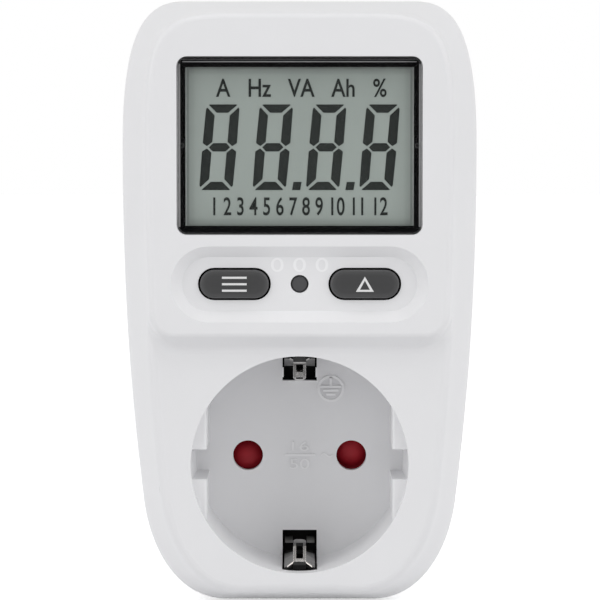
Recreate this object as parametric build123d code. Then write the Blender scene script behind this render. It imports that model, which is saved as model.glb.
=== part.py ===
from build123d import *
import math
import os

# Plug-in energy monitor: a raised display block and key strip above an earthed socket with two side
# clips, and the matching plug on the back. Millimetres. The origin is the centre of the plug face, the
# face that the pins leave. The plug points along +Y, the display and socket face -Y, and +Z is up.

# Standard plug and socket
pin_radius = 2.4
pin_length = 19.0
pin_spacing = 19.0
pin_tip_round = 1.6
plug_radius = 18.4
plug_depth = 17.0
plug_flat = 16.4
plug_tongue = 4.6
plug_end_wall = 3.0
cup_mouth_radius = 19.5
cup_floor_radius = 19.0
cup_depth = 17.5
cup_wall = 1.8
floor_thickness = 2.0
pin_hole_radius = 2.75
rib_flat = 16.6
rib_gap = 5.4
rib_setback = 1.3
rib_edge_round = 0.5

# Housing
body_half_width = 32.0
body_bottom = -25.3
parting_depth = 9.6
side_flare = 4.05
top_flare = 2.1
bottom_flare = 2.4
block_rise = 3.0
block_cup_gap = 1.2
block_corner = 4.0
step_run = 2.7
block_edge_round = 1.1
face_round = 1.8
back_taper = 1.2
back_edge_round = 3.6
plug_root_fillet = 1.0
wall = 2.2
lip_thickness = 1.0
lip_height = 1.5
moulding_gap = 0.1
cut_overrun = 1.0
tiny = 0.001

# Right side of the outline seen from the front: smooth runs from the top flat out to the widest point,
# down to the knee above the lower corner, and in to the bottom flat. Each pair is a point or a handle of
# those runs: share of the half width, and share of the height above the lowest point
widest_outline_shares = (
    (0.650, 1.0),
    (0.882, 1.0),
    (1.0, 0.9447),
    (1.0, 0.7588),
    (1.0, 0.5051),
    (0.9570, 0.3445),
    (0.8836, 0.1646),
    (0.8456, 0.0785),
    (0.6867, 0.0),
    (0.4197, 0.0),
)
face_outline_shares = (
    (0.4934, 1.0),
    (0.9492, 1.0),
    (1.0, 0.9512),
    (1.0, 0.7755),
    (1.0, 0.4928),
    (0.9307, 0.2761),
    (0.8837, 0.1709),
    (0.8352, 0.0626),
    (0.6183, 0.0),
    (0.3918, 0.0),
)
# The display block carries the flare of the sides on past the socket face by this share
block_reach_share = 1.17
bend_share = 0.45
flare_section_shares = (0.0, 0.2, 0.4, 0.6, 0.8, 1.0)
back_section_shares = (0.0, 0.45, 1.0)

# Display
window_width = 43.6
window_height = 31.6
window_corner = 1.8
window_strip_gap = 2.05
window_top_margin = 10.1
lens_gap = 0.15
lens_recess = 0.25
lens_flange = 1.4
lens_flange_thickness = 0.8
lens_edge_break = 0.25
glass_side_mask = 1.45
glass_end_mask = 1.5
glass_view_drop = 0.35
glass_margin = 1.0
glass_thickness = 2.8
frame_wall = 1.5
frame_front_thickness = 1.2
frame_snap_width = 3.0
frame_snap_height = 0.5
reflector_thickness = 0.8
reflector_inset = 2.6
connector_width = 1.8
connector_inset = 2.35

# Keys
strip_width = 45.75
strip_height = 13.5
strip_slope_run = 1.95
strip_depth = 1.8
strip_low_margin = 2.35
strip_floor_thickness = 1.5
strip_floor_margin = 1.5
key_offset = 11.6
key_hole_width = 12.9
key_hole_height = 5.7
key_gap = 0.32
key_stand_out = 1.0
key_crown = 0.35
key_edge_round = 0.45
key_flange = 1.0
key_flange_thickness = 0.8
key_stop_gap = 0.2
key_travel = 0.4
key_stem_radius = 1.5
key_stem_length = 1.4
small_key_hole_radius = 1.6
small_key_gap = 0.2
small_key_recess = 0.3

# Circuit board and what it carries
board_thickness = 1.6
board_side_gap = 2.2
board_cup_gap = 2.3
board_end_gap = 0.8
board_corner = 2.0
board_post_radius = 1.8
board_post_side_inset = 2.3
board_post_low_inset = 3.4
board_post_high_inset = 3.7
board_screw_radius = 0.95
board_screw_head_radius = 1.9
board_screw_head_height = 1.3
board_screw_length = 5.0
switch_side = 6.0
switch_height = 3.4
plunger_radius = 1.2
plunger_stand_out = 0.9
plunger_root = 1.0
plunger_gap = 0.06
thread_gap = 0.05

# Parts on the back of the board
metering_chip_size = (10.3, 2.4, 7.5)
metering_chip_x = 8.0
metering_chip_rise = 9.4
controller_chip_x = 8.0
controller_chip_rise = 23.9
dropper_x = -9.6
dropper_drop = 7.3
smoothing_side_inset = 7.6
smoothing_drop = 13.3
varistor_x = 9.6
varistor_drop = 9.3
crystal_x = -4.2
crystal_rise = 7.9
cell_x = -13.5
cell_rise = 24.4
shunt_x = -15.5
shunt_rise = 9.4
chip_leg_count = 8
controller_chip_size = (10.0, 1.5, 10.0)
dropper_size = (26.0, 16.5, 9.5)
dropper_edge_round = 0.8
smoothing_radius = 5.0
smoothing_length = 16.0
smoothing_groove = 0.35
varistor_radius = 5.5
varistor_thickness = 4.2
varistor_lead_radius = 0.4
varistor_lead_length = 4.0
crystal_size = (10.4, 3.6, 4.4)
cell_radius = 8.0
cell_thickness = 5.4
cell_cap_radius = 6.6
cell_cap_height = 0.4
shunt_width = 5.0
shunt_thickness = 1.2
shunt_span = 11.0
shunt_height = 6.0
chip_leg_reach = 1.2
chip_leg_width = 0.4
chip_leg_thickness = 0.3

# Shutter and its chamber
shutter_thickness = 2.4
shutter_plate_thickness = 1.2
shutter_face_gap = 0.3
shutter_back_gap = 0.25
shutter_hub_radius = 4.2
shutter_cover_margin = 1.35
shutter_tip_gap = 0.8
shutter_wing_angle = 36.0
shutter_dome_radius = 3.2
shutter_dome_offset = 0.7
shutter_bore_gap = 0.05
shutter_edge_round = 0.35
pivot_radius = 1.9
spring_wire = 0.3
spring_coil_radius = 1.0
spring_turns = 7
spring_x = 5.2
spring_seat_height = 1.5
spring_end_gap = 0.1
spring_seat_width = 3.0

# Contact carrier behind the socket floor
carrier_setback = 0.9
wiring_room = 4.3
contact_bore_radius = 2.45
contact_wall = 0.7
contact_slit = 0.9
contact_gap = 0.3
contact_collar_radius = 4.2
contact_collar_thickness = 0.8
contact_web_thickness = 0.8
contact_front_gap = 0.4
contact_tail_width = 4.0
contact_tail_reach = 7.0
carrier_boss_radius = 2.2
carrier_boss_length = 5.0
carrier_boss_gap = 0.2
carrier_boss_x = 13.2
carrier_boss_z = 12.4
carrier_screw_radius = 1.1
carrier_screw_head_radius = 2.2
carrier_screw_head_height = 1.4
carrier_screw_length = 8.5

# Earth path: clips in the cup, bracket behind the carrier, strips along the plug
clip_window_width = 6.3
clip_window_reach = 5.2
clip_window_front = 2.9
clip_channel_depth = 4.5
clip_channel_room = 1.25
clip_leg_width = 5.6
clip_leg_offset = 0.15
clip_sheet = 0.5
clip_strap_width = 2.4
clip_slot_width = 1.26
clip_slot_height = 1.7
clip_front_depth = 3.6
clip_shoulder_drop = 1.65
clip_crown_drop = 5.15
clip_crown_depth = 8.4
clip_tip_drop = 3.25
clip_tip_depth = 16.2
clip_bend_radius = 0.9
clip_crown_radius = 3.0
clip_wing_sheet = 0.4
clip_wing_slope = 0.7
clip_wing_front_drop = 1.55
clip_wing_back_drop = 2.45
clip_wing_length = 6.5
bracket_width = 5.6
bracket_thickness = 0.8
bracket_leg_length = 4.0
earth_strip_width = 5.0
earth_strip_thickness = 0.8
earth_recess_depth = 2.5
earth_recess_width = 6.0
earth_strip_setback = 1.2
earth_recess_wall = 1.3
earth_strip_foot = 4.0
earth_strip_gap = 0.1

# Plug pins and wiring
pin_root_radius = 2.9
pin_hole_gap = 0.05
pin_flange_radius = 3.4
pin_flange_thickness = 1.2
pin_shank_radius = 1.7
pin_shank_end = 9.0
strap_width = 4.0
strap_thickness = 0.8
strap_reach = 6.0
strap_tail = 2.0
strap_room = 7.3
lead_radius = 1.0
sense_lead_radius = 0.6
lead_turn = 3.4
lead_rise_z = 8.6
lead_exit_z = 10.4
inner_lead_x = 4.4
outer_lead_x = 7.2
pad_rise = 3.8
supply_pad_x = 13.0
load_pad_x = 20.5
sense_pad_x = 16.5

# Housing screws
housing_screw_radius = 1.25
housing_screw_head_radius = 2.3
housing_screw_head_height = 1.6
housing_screw_length = 11.0
housing_boss_radius = 2.6
housing_boss_gap = 0.2
housing_tube_radius = 3.2
housing_tube_seat = 4.0
housing_tube_length = 23.0
screw_clearance = 0.25
screw_slot_width = 0.6
screw_cross_share = 0.6
head_round_share = 0.33
screw_slot_depth = 0.5
upper_screw_x = 17.0
upper_screw_inset = 5.7
lower_screw_inset = 8.6
lower_screw_z = 15.0

pin_x = pin_spacing / 2
cup_outer_radius = cup_mouth_radius + cup_wall

# Heights, from the socket cup up to the top
block_bottom = cup_mouth_radius + step_run + block_cup_gap
strip_z = block_bottom + strip_low_margin + strip_height / 2
window_z = strip_z + strip_height / 2 + window_strip_gap + window_height / 2
body_top = window_z + window_height / 2 + window_top_margin
face_top = body_top - top_flare
face_bottom = body_bottom + bottom_flare
upper_screw_z = body_top - upper_screw_inset
board_bottom = cup_outer_radius + board_cup_gap
board_top = upper_screw_z - housing_tube_radius - board_end_gap
board_post_low_z = board_bottom + board_post_low_inset
board_post_high_z = board_top - board_post_high_inset
metering_chip_z = board_bottom + metering_chip_rise
controller_chip_z = board_bottom + controller_chip_rise
crystal_z = board_bottom + crystal_rise
cell_z = board_bottom + cell_rise
shunt_z = board_bottom + shunt_rise
pad_z = board_bottom + pad_rise
dropper_z = board_top - dropper_drop
smoothing_z = board_top - smoothing_drop
varistor_z = board_top - varistor_drop

# Widths, from the sides in
face_half_width = body_half_width - side_flare
board_half_width = body_half_width - wall - board_side_gap
board_post_x = board_half_width - board_post_side_inset
smoothing_x = board_half_width - smoothing_side_inset
lower_screw_x = body_half_width - lower_screw_inset
glass_view_width = window_width - 2 * glass_side_mask
glass_view_height = window_height - 2 * glass_end_mask
connector_length = glass_view_width - 2 * connector_inset

# What lies round the socket axis
shutter_reach = pin_x + pin_hole_radius + shutter_cover_margin
chamber_radius = shutter_reach + shutter_tip_gap
spring_seat_z = chamber_radius - spring_seat_height
carrier_radius = cup_outer_radius - carrier_setback
clip_window_inner = cup_floor_radius - clip_window_reach
clip_leg_z = cup_mouth_radius + clip_leg_offset
clip_channel_z = clip_leg_z - clip_channel_room
clip_shoulder_z = clip_leg_z - clip_shoulder_drop
clip_crown_z = clip_leg_z - clip_crown_drop
clip_tip_z = clip_leg_z - clip_tip_drop
clip_wing_front_z = clip_leg_z - clip_wing_front_drop
clip_wing_back_z = clip_leg_z - clip_wing_back_drop
earth_strip_z = plug_radius - earth_recess_depth

# The body is as deep as the cup, the pins of the device, the contacts and the wiring behind them need
body_depth = (
    cup_depth
    + pin_length
    + contact_front_gap
    + contact_web_thickness
    + strap_room
    + pin_shank_end
    - plug_depth
)

plug_back_y = -plug_depth
face_y = plug_back_y - body_depth
block_y = face_y - block_rise
parting_y = face_y + parting_depth
floor_y = face_y + cup_depth
floor_back_y = floor_y + floor_thickness


def front_plane(y):
    """Plane across the object at depth y, seen from the front: u is +X and v is +Z."""
    return Plane(origin=(0, y, 0), x_dir=(1, 0, 0), z_dir=(0, -1, 0))


def slab(sketch, y_front, y_back):
    """Prism of a front-view sketch between two depths."""
    return extrude(front_plane(y_back) * sketch, amount=y_back - y_front)


def rod(radius, y_front, y_back, x=0, z=0):
    """Round bar along Y between two depths."""
    return slab(Pos(x, z) * Circle(radius), y_front, y_back)


def plate(width, height, y_front, y_back, x=0, z=0):
    """Flat block of a given width and height between two depths."""
    return slab(Pos(x, z) * Rectangle(width, height), y_front, y_back)


def outline(reach, inset):
    """Front-view outline of the housing, from the widest plane at reach 0 to the socket face at reach 1."""
    points = []
    height = body_top - body_bottom
    face_height = face_top - face_bottom
    for (width_share, height_share), (face_width_share, face_height_share) in zip(
        widest_outline_shares, face_outline_shares
    ):
        wide_x = body_half_width * width_share
        wide_z = body_bottom + height * height_share
        face_x = face_half_width * face_width_share
        face_z = face_bottom + face_height * face_height_share
        points.append((wide_x + (face_x - wide_x) * reach, wide_z + (face_z - wide_z) * reach))
    middle = (points[0][1] + points[-1][1]) / 2
    half_height = points[0][1] - middle
    half_width = max(x for x, z in points)
    width_scale = (half_width - inset) / half_width
    height_scale = (half_height - inset) / half_height
    return [(x * width_scale, middle + (z - middle) * height_scale) for x, z in points]


def outline_sketch(reach, inset):
    """Closed front-view sketch of the outline: two flats joined by two smooth sides."""
    points = outline(reach, inset)
    runs = [Bezier(points[start : start + 4]) for start in (0, 3, 6)]
    across = [(-x, z) for x, z in points]
    runs += [Bezier(across[start : start + 4]) for start in (0, 3, 6)]
    runs += [Line(across[0], points[0]), Line(across[-1], points[-1])]
    return make_face(runs)


def flare(share):
    """Reach of the outline at a share of the way from the parting plane to the socket face."""
    end_slope = (block_reach_share - 1) * parting_depth / block_rise
    return (3 - end_slope) * share**2 - (2 - end_slope) * share**3


def front_shell_solid(inset, y_end, y_start):
    """Solid inside the front flare, from y_start forward to y_end, inset from the outer surface."""
    sections = [front_plane(y_start) * outline_sketch(0, inset)] if y_start > parting_y else []
    last_share = (parting_y - y_end) / parting_depth
    for share in flare_section_shares:
        reach = flare(share * last_share)
        y = parting_y - share * last_share * parting_depth
        sections.append(front_plane(y) * outline_sketch(reach, inset))
    return loft(sections)


def display_block():
    """Raised block: its sides carry the flare on, and its lower side is a sloping step with round corners."""
    low = -body_top
    base = outline_sketch(1, 0) & Pos(0, block_bottom - step_run - low) * Rectangle(
        4 * body_half_width, -2 * low
    )
    front = outline_sketch(block_reach_share, 0) & Pos(0, block_bottom - low) * Rectangle(
        4 * body_half_width, -2 * low
    )
    base = fillet(base.vertices().sort_by(Axis.Y)[:2], block_corner + step_run)
    front = fillet(front.vertices().sort_by(Axis.Y)[:2], block_corner)
    return loft([front_plane(face_y) * base, front_plane(block_y) * front], ruled=True)


def slot_sketch(width, height, x=0, z=0):
    """Front-view sketch of a slot with round ends."""
    return Pos(x, z) * SlotOverall(width, height)


def both_sides(part):
    """A right-hand piece and its mirror image on the left."""
    return part + mirror(part, about=Plane.YZ)


def both_ends(part):
    """An upper piece and its mirror image below the socket axis."""
    return part + mirror(part, about=Plane.XY)


def edges_at(part, y):
    """Edges that lie in the plane at depth y."""
    found = []
    for edge in part.edges():
        box = edge.bounding_box()
        if abs(box.min.Y - y) < tiny and abs(box.max.Y - y) < tiny:
            found.append(edge)
    return found


def housing_screw_places():
    """Screw axes in the front view: two above the display and two beside the socket."""
    return [
        (side * x, z)
        for side in (-1, 1)
        for x, z in ((upper_screw_x, upper_screw_z), (lower_screw_x, lower_screw_z))
    ]


def board_screw_places():
    """Screw axes of the circuit board in the front view."""
    return [
        (side * board_post_x, z) for side in (-1, 1) for z in (board_post_low_z, board_post_high_z)
    ]


def carrier_screw_places():
    """Screw axes of the contact carrier in the front view, on one diagonal."""
    return [(carrier_boss_x, -carrier_boss_z), (-carrier_boss_x, carrier_boss_z)]


# Depths that several pieces share
inner_face_y = face_y + wall
block_inner_y = block_y + wall
back_inner_y = plug_back_y - wall
strip_floor_y = block_y + strip_depth
strip_back_y = strip_floor_y + strip_floor_thickness
frame_front_y = block_inner_y + lens_flange_thickness
glass_y = frame_front_y + frame_front_thickness
glass_back_y = glass_y + glass_thickness
key_flange_y = strip_back_y + key_stop_gap
key_flange_back_y = key_flange_y + key_flange_thickness
plunger_tip_y = key_flange_back_y + key_stem_length
switch_front_y = plunger_tip_y + plunger_stand_out
board_y = switch_front_y + switch_height
board_back_y = board_y + board_thickness
shutter_y = floor_back_y + shutter_face_gap
shutter_back_y = shutter_y + shutter_thickness
chamber_y = shutter_back_y + shutter_back_gap
carrier_back_y = back_inner_y - wiring_room
pin_end_y = floor_y + pin_length
contact_web_y = pin_end_y + contact_front_gap
contact_web_back_y = contact_web_y + contact_web_thickness
contact_outer_radius = contact_bore_radius + contact_wall
bracket_back_y = carrier_back_y + bracket_thickness
shank_y = -pin_shank_end
plug_inner_radius = earth_strip_z - earth_recess_wall
screw_seat_y = plug_back_y - housing_tube_length + housing_tube_seat
tube_front_y = plug_back_y - housing_tube_length


def cup_body():
    """Outside of the socket cup, with its floor."""
    return rod(cup_outer_radius, face_y, floor_back_y)


def cup_hollow():
    """Tapering hollow of the cup, from the face to the floor."""
    mouth = front_plane(face_y) * Circle(cup_mouth_radius)
    floor = front_plane(floor_y) * Circle(cup_floor_radius)
    lead_in = rod(cup_mouth_radius, face_y - block_rise - cut_overrun, face_y)
    return loft([mouth, floor], ruled=True) + lead_in


def cup_ribs():
    """Four flat-fronted ribs that narrow the cup at the sides and leave a keyway between them."""
    rib_height = cup_outer_radius
    segment = Circle(cup_mouth_radius + cup_wall / 2) & Pos(rib_flat + rib_height / 2, 0) * Rectangle(
        rib_height, 2 * rib_height
    )
    segment -= Rectangle(4 * cup_outer_radius, rib_gap)
    ribs = slab(segment, face_y + rib_setback, floor_y)
    inner_edges = [
        edge
        for edge in edges_at(ribs, face_y + rib_setback)
        if edge.bounding_box().max.X < rib_flat + tiny
    ]
    return both_sides(fillet(inner_edges, rib_edge_round))


def clip_window():
    """Opening through the cup's wall and floor for the upper earth clip."""
    front_y = face_y + clip_window_front
    outer_z = cup_outer_radius + moulding_gap
    inner_z = clip_window_inner
    wall_slot = plate(
        clip_window_width, outer_z - inner_z, front_y, floor_back_y, z=(outer_z + inner_z) / 2
    )
    return wall_slot


def window_sketch(grow):
    """Front-view sketch of the display window, grown all round."""
    return Pos(0, window_z) * RectangleRounded(
        window_width + 2 * grow, window_height + 2 * grow, window_corner + grow
    )


def strip_floor_sketch(grow):
    """Front-view sketch of the floor of the key strip, grown all round."""
    inset = strip_slope_run - grow
    return slot_sketch(strip_width - 2 * inset, strip_height - 2 * inset, z=strip_z)


def key_strip_pocket():
    """Sunk strip with sloping sides that holds the keys."""
    mouth = strip_floor_sketch(strip_slope_run)
    floor = strip_floor_sketch(0)
    return loft([front_plane(block_y) * mouth, front_plane(strip_floor_y) * floor], ruled=True)


def front_cover():
    """Front half of the housing: flared walls, display block, sunk key strip and socket cup in one piece."""
    outer = front_shell_solid(0, face_y, parting_y) + display_block()
    outer = fillet(edges_at(outer, block_y), block_edge_round)
    ridge_and_step = [edge for edge in edges_at(outer, face_y) if edge.center().Z < block_bottom]
    outer = fillet(ridge_and_step, face_round)

    hollow = front_shell_solid(wall, inner_face_y, parting_y)
    block_hollow = slab(
        outline_sketch(1, wall)
        & Pos(0, block_bottom + wall + body_top / 2) * Rectangle(4 * body_half_width, body_top),
        block_inner_y,
        inner_face_y,
    )
    cover = outer - hollow - block_hollow
    rebate = slab(
        outline_sketch(0, wall - lip_thickness - moulding_gap),
        parting_y - lip_height - moulding_gap,
        parting_y,
    )
    cover -= rebate

    cover += slab(
        strip_floor_sketch(strip_floor_margin),
        block_inner_y,
        strip_back_y,
    )
    for x, z in board_screw_places():
        cover += rod(board_post_radius, inner_face_y - wall / 2, board_y, x, z)
    for x, z in housing_screw_places():
        cover += rod(housing_boss_radius, inner_face_y - wall / 2, tube_front_y - housing_boss_gap, x, z)
    for x, z in board_screw_places():
        cover -= rod(
            board_screw_radius + thread_gap, board_back_y - board_screw_length - wall / 4, board_y, x, z
        )
    for x, z in housing_screw_places():
        cover -= rod(
            housing_screw_radius + thread_gap,
            screw_seat_y - housing_screw_length - wall / 4,
            tube_front_y - housing_boss_gap,
            x,
            z,
        )
    cover += cup_body() - rod(cup_outer_radius + cut_overrun, face_y - cut_overrun, face_y + wall / 2)

    cover -= slab(window_sketch(0), block_y - cut_overrun, block_inner_y + cut_overrun)
    cover -= key_strip_pocket()
    for side in (-1, 1):
        cover -= slab(
            slot_sketch(key_hole_width, key_hole_height, side * key_offset, strip_z),
            strip_floor_y - cut_overrun,
            strip_back_y + cut_overrun,
        )
    cover -= rod(
        small_key_hole_radius, strip_floor_y - cut_overrun, strip_back_y + cut_overrun, z=strip_z
    )
    cover -= cup_hollow()
    cover += cup_ribs()
    cover -= both_ends(clip_window())
    for side in (-1, 1):
        cover -= rod(
            pin_hole_radius, floor_y - cut_overrun, floor_back_y + cut_overrun, side * pin_x
        )
    for x, z in carrier_screw_places():
        cover += rod(
            carrier_boss_radius, floor_back_y - floor_thickness / 2, floor_back_y + carrier_boss_length, x, z
        ) - rod(
            carrier_screw_radius + thread_gap,
            floor_back_y - cut_overrun,
            floor_back_y + carrier_boss_length + cut_overrun,
            x,
            z,
        )
    return cover


def back_shell_solid(inset, y_end):
    """Solid inside the back of the housing, from the parting plane to y_end, inset from the outer surface."""
    sections = []
    for share in back_section_shares:
        y = parting_y + share * (y_end - parting_y)
        depth_share = (y - parting_y) / (plug_back_y - parting_y)
        sections.append(front_plane(y) * outline_sketch(0, inset + back_taper * depth_share**2))
    return loft(sections)


def plug_body():
    """Plug body: round, with side flats, a tongue on each flat and a recess for each earth strip."""
    section = Circle(plug_radius) & (
        Rectangle(2 * plug_flat, 2 * plug_radius) + Rectangle(2 * plug_radius, plug_tongue)
    )
    depth = plug_radius - earth_strip_z
    for side in (-1, 1):
        section -= Pos(0, side * (earth_strip_z + depth)) * Rectangle(earth_recess_width, 2 * depth)
    return slab(section, plug_back_y - wall / 2, 0)


def rear_cover():
    """Back half of the housing with the plug body, screw tubes and the lip that enters the front half."""
    outer = fillet(edges_at(back_shell_solid(0, plug_back_y), plug_back_y), back_edge_round)
    cover = outer + plug_body() - back_shell_solid(wall, back_inner_y)
    lip_front_y = parting_y - lip_height
    cover += slab(
        outline_sketch(0, wall - lip_thickness) - outline_sketch(0, wall), lip_front_y, parting_y
    )
    for x, z in housing_screw_places():
        cover += rod(housing_tube_radius, tube_front_y, plug_back_y - wall / 2, x, z)
    for x, z in housing_screw_places():
        cover -= rod(
            housing_screw_head_radius + screw_clearance, screw_seat_y, plug_back_y + cut_overrun, x, z
        )
        cover -= rod(
            housing_screw_radius + screw_clearance, tube_front_y - cut_overrun, screw_seat_y, x, z
        )
    cover -= rod(plug_inner_radius, back_inner_y - cut_overrun, -plug_end_wall)
    for side in (-1, 1):
        cover -= rod(pin_root_radius + pin_hole_gap, -plug_end_wall - cut_overrun, cut_overrun, side * pin_x)
        cover -= plate(
            earth_strip_width + 2 * earth_strip_gap,
            earth_strip_thickness + 2 * earth_strip_gap,
            back_inner_y - cut_overrun,
            plug_back_y + tiny,
            z=side * (earth_strip_z + earth_strip_thickness / 2),
        )
    return cover


def display_lens():
    """Clear window: a plate that fills the opening and a thin flange that holds it from behind."""
    front_y = block_y + lens_recess
    pane = slab(window_sketch(-lens_gap), front_y, block_inner_y)
    pane = chamfer(edges_at(pane, front_y), lens_edge_break)
    return pane + slab(window_sketch(lens_flange), block_inner_y, frame_front_y)


def frame_outer_sketch():
    return Pos(0, window_z) * RectangleRounded(
        window_width + 2 * frame_wall, window_height + 2 * (lens_flange - lens_gap), window_corner
    )


def glass_sketch(margin):
    """Front-view sketch of the LCD glass: the visible area and a margin all round."""
    return Pos(0, window_z - glass_view_drop) * Rectangle(
        glass_view_width + 2 * margin, glass_view_height + 2 * margin
    )


def lcd_frame():
    """Black frame that stands on the board, holds the glass and masks its edge."""
    frame = slab(frame_outer_sketch(), frame_front_y, board_y)
    frame -= slab(glass_sketch(0), frame_front_y - cut_overrun, glass_y + cut_overrun)
    frame -= slab(glass_sketch(glass_margin + lens_gap), glass_y, board_y + cut_overrun)
    for side in (-1, 1):
        edge_x = side * (glass_view_width / 2 + frame_snap_height / 2)
        frame -= plate(
            frame_snap_height + 2 * tiny,
            frame_snap_width,
            frame_front_y - cut_overrun,
            frame_front_y + frame_front_thickness / 2,
            edge_x,
            window_z,
        )
    return frame


def lcd_glass():
    """Two-layer glass: the front sheet is shorter at the contact ledge than the back sheet."""
    return slab(glass_sketch(glass_margin), glass_y, glass_back_y)


def lcd_reflector():
    """White sheet behind the glass, between the two connector strips."""
    height = glass_view_height + 2 * glass_margin - 2 * reflector_inset
    return plate(
        glass_view_width + 2 * glass_margin,
        height,
        glass_back_y,
        glass_back_y + reflector_thickness,
        z=window_z - glass_view_drop,
    )


def connector_strip(side):
    """Elastomer strip that joins the glass to the board, above or below the reflector."""
    offset = glass_view_height / 2 + glass_margin - connector_width / 2 - lens_gap
    z = window_z - glass_view_drop + side * offset
    return plate(connector_length, connector_width, glass_back_y, board_y, z=z)


def long_key(x):
    """Long key: crowned cap, stop flange behind the cover and a stem down to its switch."""
    cap_y = strip_floor_y - key_stand_out
    width = key_hole_width - 2 * key_gap
    height = key_hole_height - 2 * key_gap
    cap = slab(slot_sketch(width, height, x, strip_z), cap_y, key_flange_y)
    crown_radius = (width / 2) ** 2 / (2 * key_crown)
    crown = Pos(x, cap_y + crown_radius, strip_z) * Sphere(crown_radius)
    cap = cap & crown
    rim = [edge for edge in cap.edges() if edge.center().Y < cap_y + key_crown * 2 and edge.length > key_gap]
    cap = fillet(rim, key_edge_round)
    flange = slab(
        slot_sketch(key_hole_width + 2 * key_flange, key_hole_height + 2 * key_flange, x, strip_z),
        key_flange_y,
        key_flange_back_y,
    )
    return cap + flange + rod(key_stem_radius, key_flange_back_y, plunger_tip_y, x, strip_z)


def small_key():
    """Small round key, a little below the floor of the strip."""
    radius = small_key_hole_radius - small_key_gap
    cap = rod(radius, strip_floor_y + small_key_recess, key_flange_y, z=strip_z)
    cap = fillet(edges_at(cap, strip_floor_y + small_key_recess), small_key_gap)
    flange = rod(small_key_hole_radius + key_flange / 2, key_flange_y, key_flange_back_y, z=strip_z)
    return cap + flange + rod(plunger_radius, key_flange_back_y, plunger_tip_y, z=strip_z)


def key_switch(x):
    """Key switch on the board: a square body with the bore for its plunger."""
    body = plate(switch_side, switch_side, switch_front_y, board_y, x, strip_z)
    body = chamfer(body.edges().filter_by(Axis.Y), key_gap)
    return body - rod(
        plunger_radius + plunger_gap,
        switch_front_y - cut_overrun,
        switch_front_y + plunger_root + key_travel + plunger_gap,
        x,
        strip_z,
    )


def switch_plunger(x):
    """Plunger of a key switch, from the key's stem into the switch body."""
    return rod(plunger_radius, plunger_tip_y, switch_front_y + plunger_root, x, strip_z)


def main_board():
    """Circuit board on four posts of the front cover."""
    height = board_top - board_bottom
    sketch = Pos(0, (board_top + board_bottom) / 2) * RectangleRounded(
        2 * board_half_width, height, board_corner
    )
    for x, z in board_screw_places():
        sketch -= Pos(x, z) * Circle(board_screw_radius + thread_gap)
    return slab(sketch, board_y, board_back_y)


def board_block(size, x, z):
    """Block of the given width, depth and height standing on the back of the board."""
    width, depth, height = size
    return plate(width, height, board_back_y, board_back_y + depth, x, z)


def metering_chip():
    """Small-outline chip with a row of legs on each side."""
    width, depth, height = metering_chip_size
    chip = board_block(metering_chip_size, metering_chip_x, metering_chip_z)
    pitch = width / chip_leg_count
    for number in range(chip_leg_count):
        leg_x = metering_chip_x - width / 2 + (number + 0.5) * pitch
        chip += plate(
            chip_leg_width,
            height + 2 * chip_leg_reach,
            board_back_y,
            board_back_y + chip_leg_thickness,
            leg_x,
            metering_chip_z,
        )
    return chip


def controller_chip():
    """Square chip with legs on all four sides."""
    width, depth, height = controller_chip_size
    chip = board_block(controller_chip_size, controller_chip_x, controller_chip_z)
    pitch = width / chip_leg_count
    for number in range(chip_leg_count):
        offset = (number + 0.5) * pitch - width / 2
        leg_end = height + 2 * chip_leg_reach
        for leg_width, leg_height, x, z in (
            (chip_leg_width, leg_end, offset, 0),
            (leg_end, chip_leg_width, 0, offset),
        ):
            chip += plate(
                leg_width,
                leg_height,
                board_back_y,
                board_back_y + chip_leg_thickness,
                controller_chip_x + x,
                controller_chip_z + z,
            )
    return chip


def dropper_capacitor():
    """Boxed film capacitor that drops the supply voltage."""
    box = board_block(dropper_size, dropper_x, dropper_z)
    return fillet(edges_at(box, board_back_y + dropper_size[1]), dropper_edge_round)


def smoothing_capacitor():
    """Round capacitor standing on the board, with the crimped groove near its foot."""
    top_y = board_back_y + smoothing_length
    can = rod(smoothing_radius, board_back_y, top_y, smoothing_x, smoothing_z)
    can = fillet(edges_at(can, top_y), smoothing_groove)
    groove_y = board_back_y + smoothing_length / 8
    ring = rod(
        smoothing_radius + cut_overrun, groove_y, groove_y + 2 * smoothing_groove, smoothing_x, smoothing_z
    ) - rod(
        smoothing_radius - smoothing_groove,
        groove_y - cut_overrun,
        groove_y + cut_overrun + smoothing_groove,
        smoothing_x,
        smoothing_z,
    )
    return can - ring


def varistor():
    """Disc on two legs, standing across the board."""
    centre_y = board_back_y + varistor_lead_length + varistor_radius
    disc = Pos(varistor_x, centre_y, varistor_z) * Cylinder(varistor_radius, varistor_thickness)
    disc = fillet(disc.edges(), varistor_thickness / 4)
    for side in (-1, 1):
        disc += rod(
            varistor_lead_radius,
            board_back_y,
            centre_y,
            varistor_x + side * varistor_radius / 2,
            varistor_z,
        )
    return disc


def crystal():
    """Low metal can with round ends on a wider foot."""
    width, depth, height = crystal_size
    foot = slab(
        slot_sketch(width, height, crystal_x, crystal_z), board_back_y, board_back_y + chip_leg_thickness
    )
    inset = 2 * chip_leg_thickness
    can = slab(
        slot_sketch(width - inset, height - inset, crystal_x, crystal_z),
        board_back_y + chip_leg_thickness,
        board_back_y + depth,
    )
    return foot + fillet(edges_at(can, board_back_y + depth), inset)


def backup_cell():
    """Button cell that keeps the clock and the readings, lying flat on the board."""
    back_y = board_back_y + cell_thickness
    can = rod(cell_radius, board_back_y, back_y, cell_x, cell_z)
    can = fillet(edges_at(can, back_y), cell_cap_height)
    return can + rod(cell_cap_radius, back_y, back_y + cell_cap_height, cell_x, cell_z)


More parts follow.
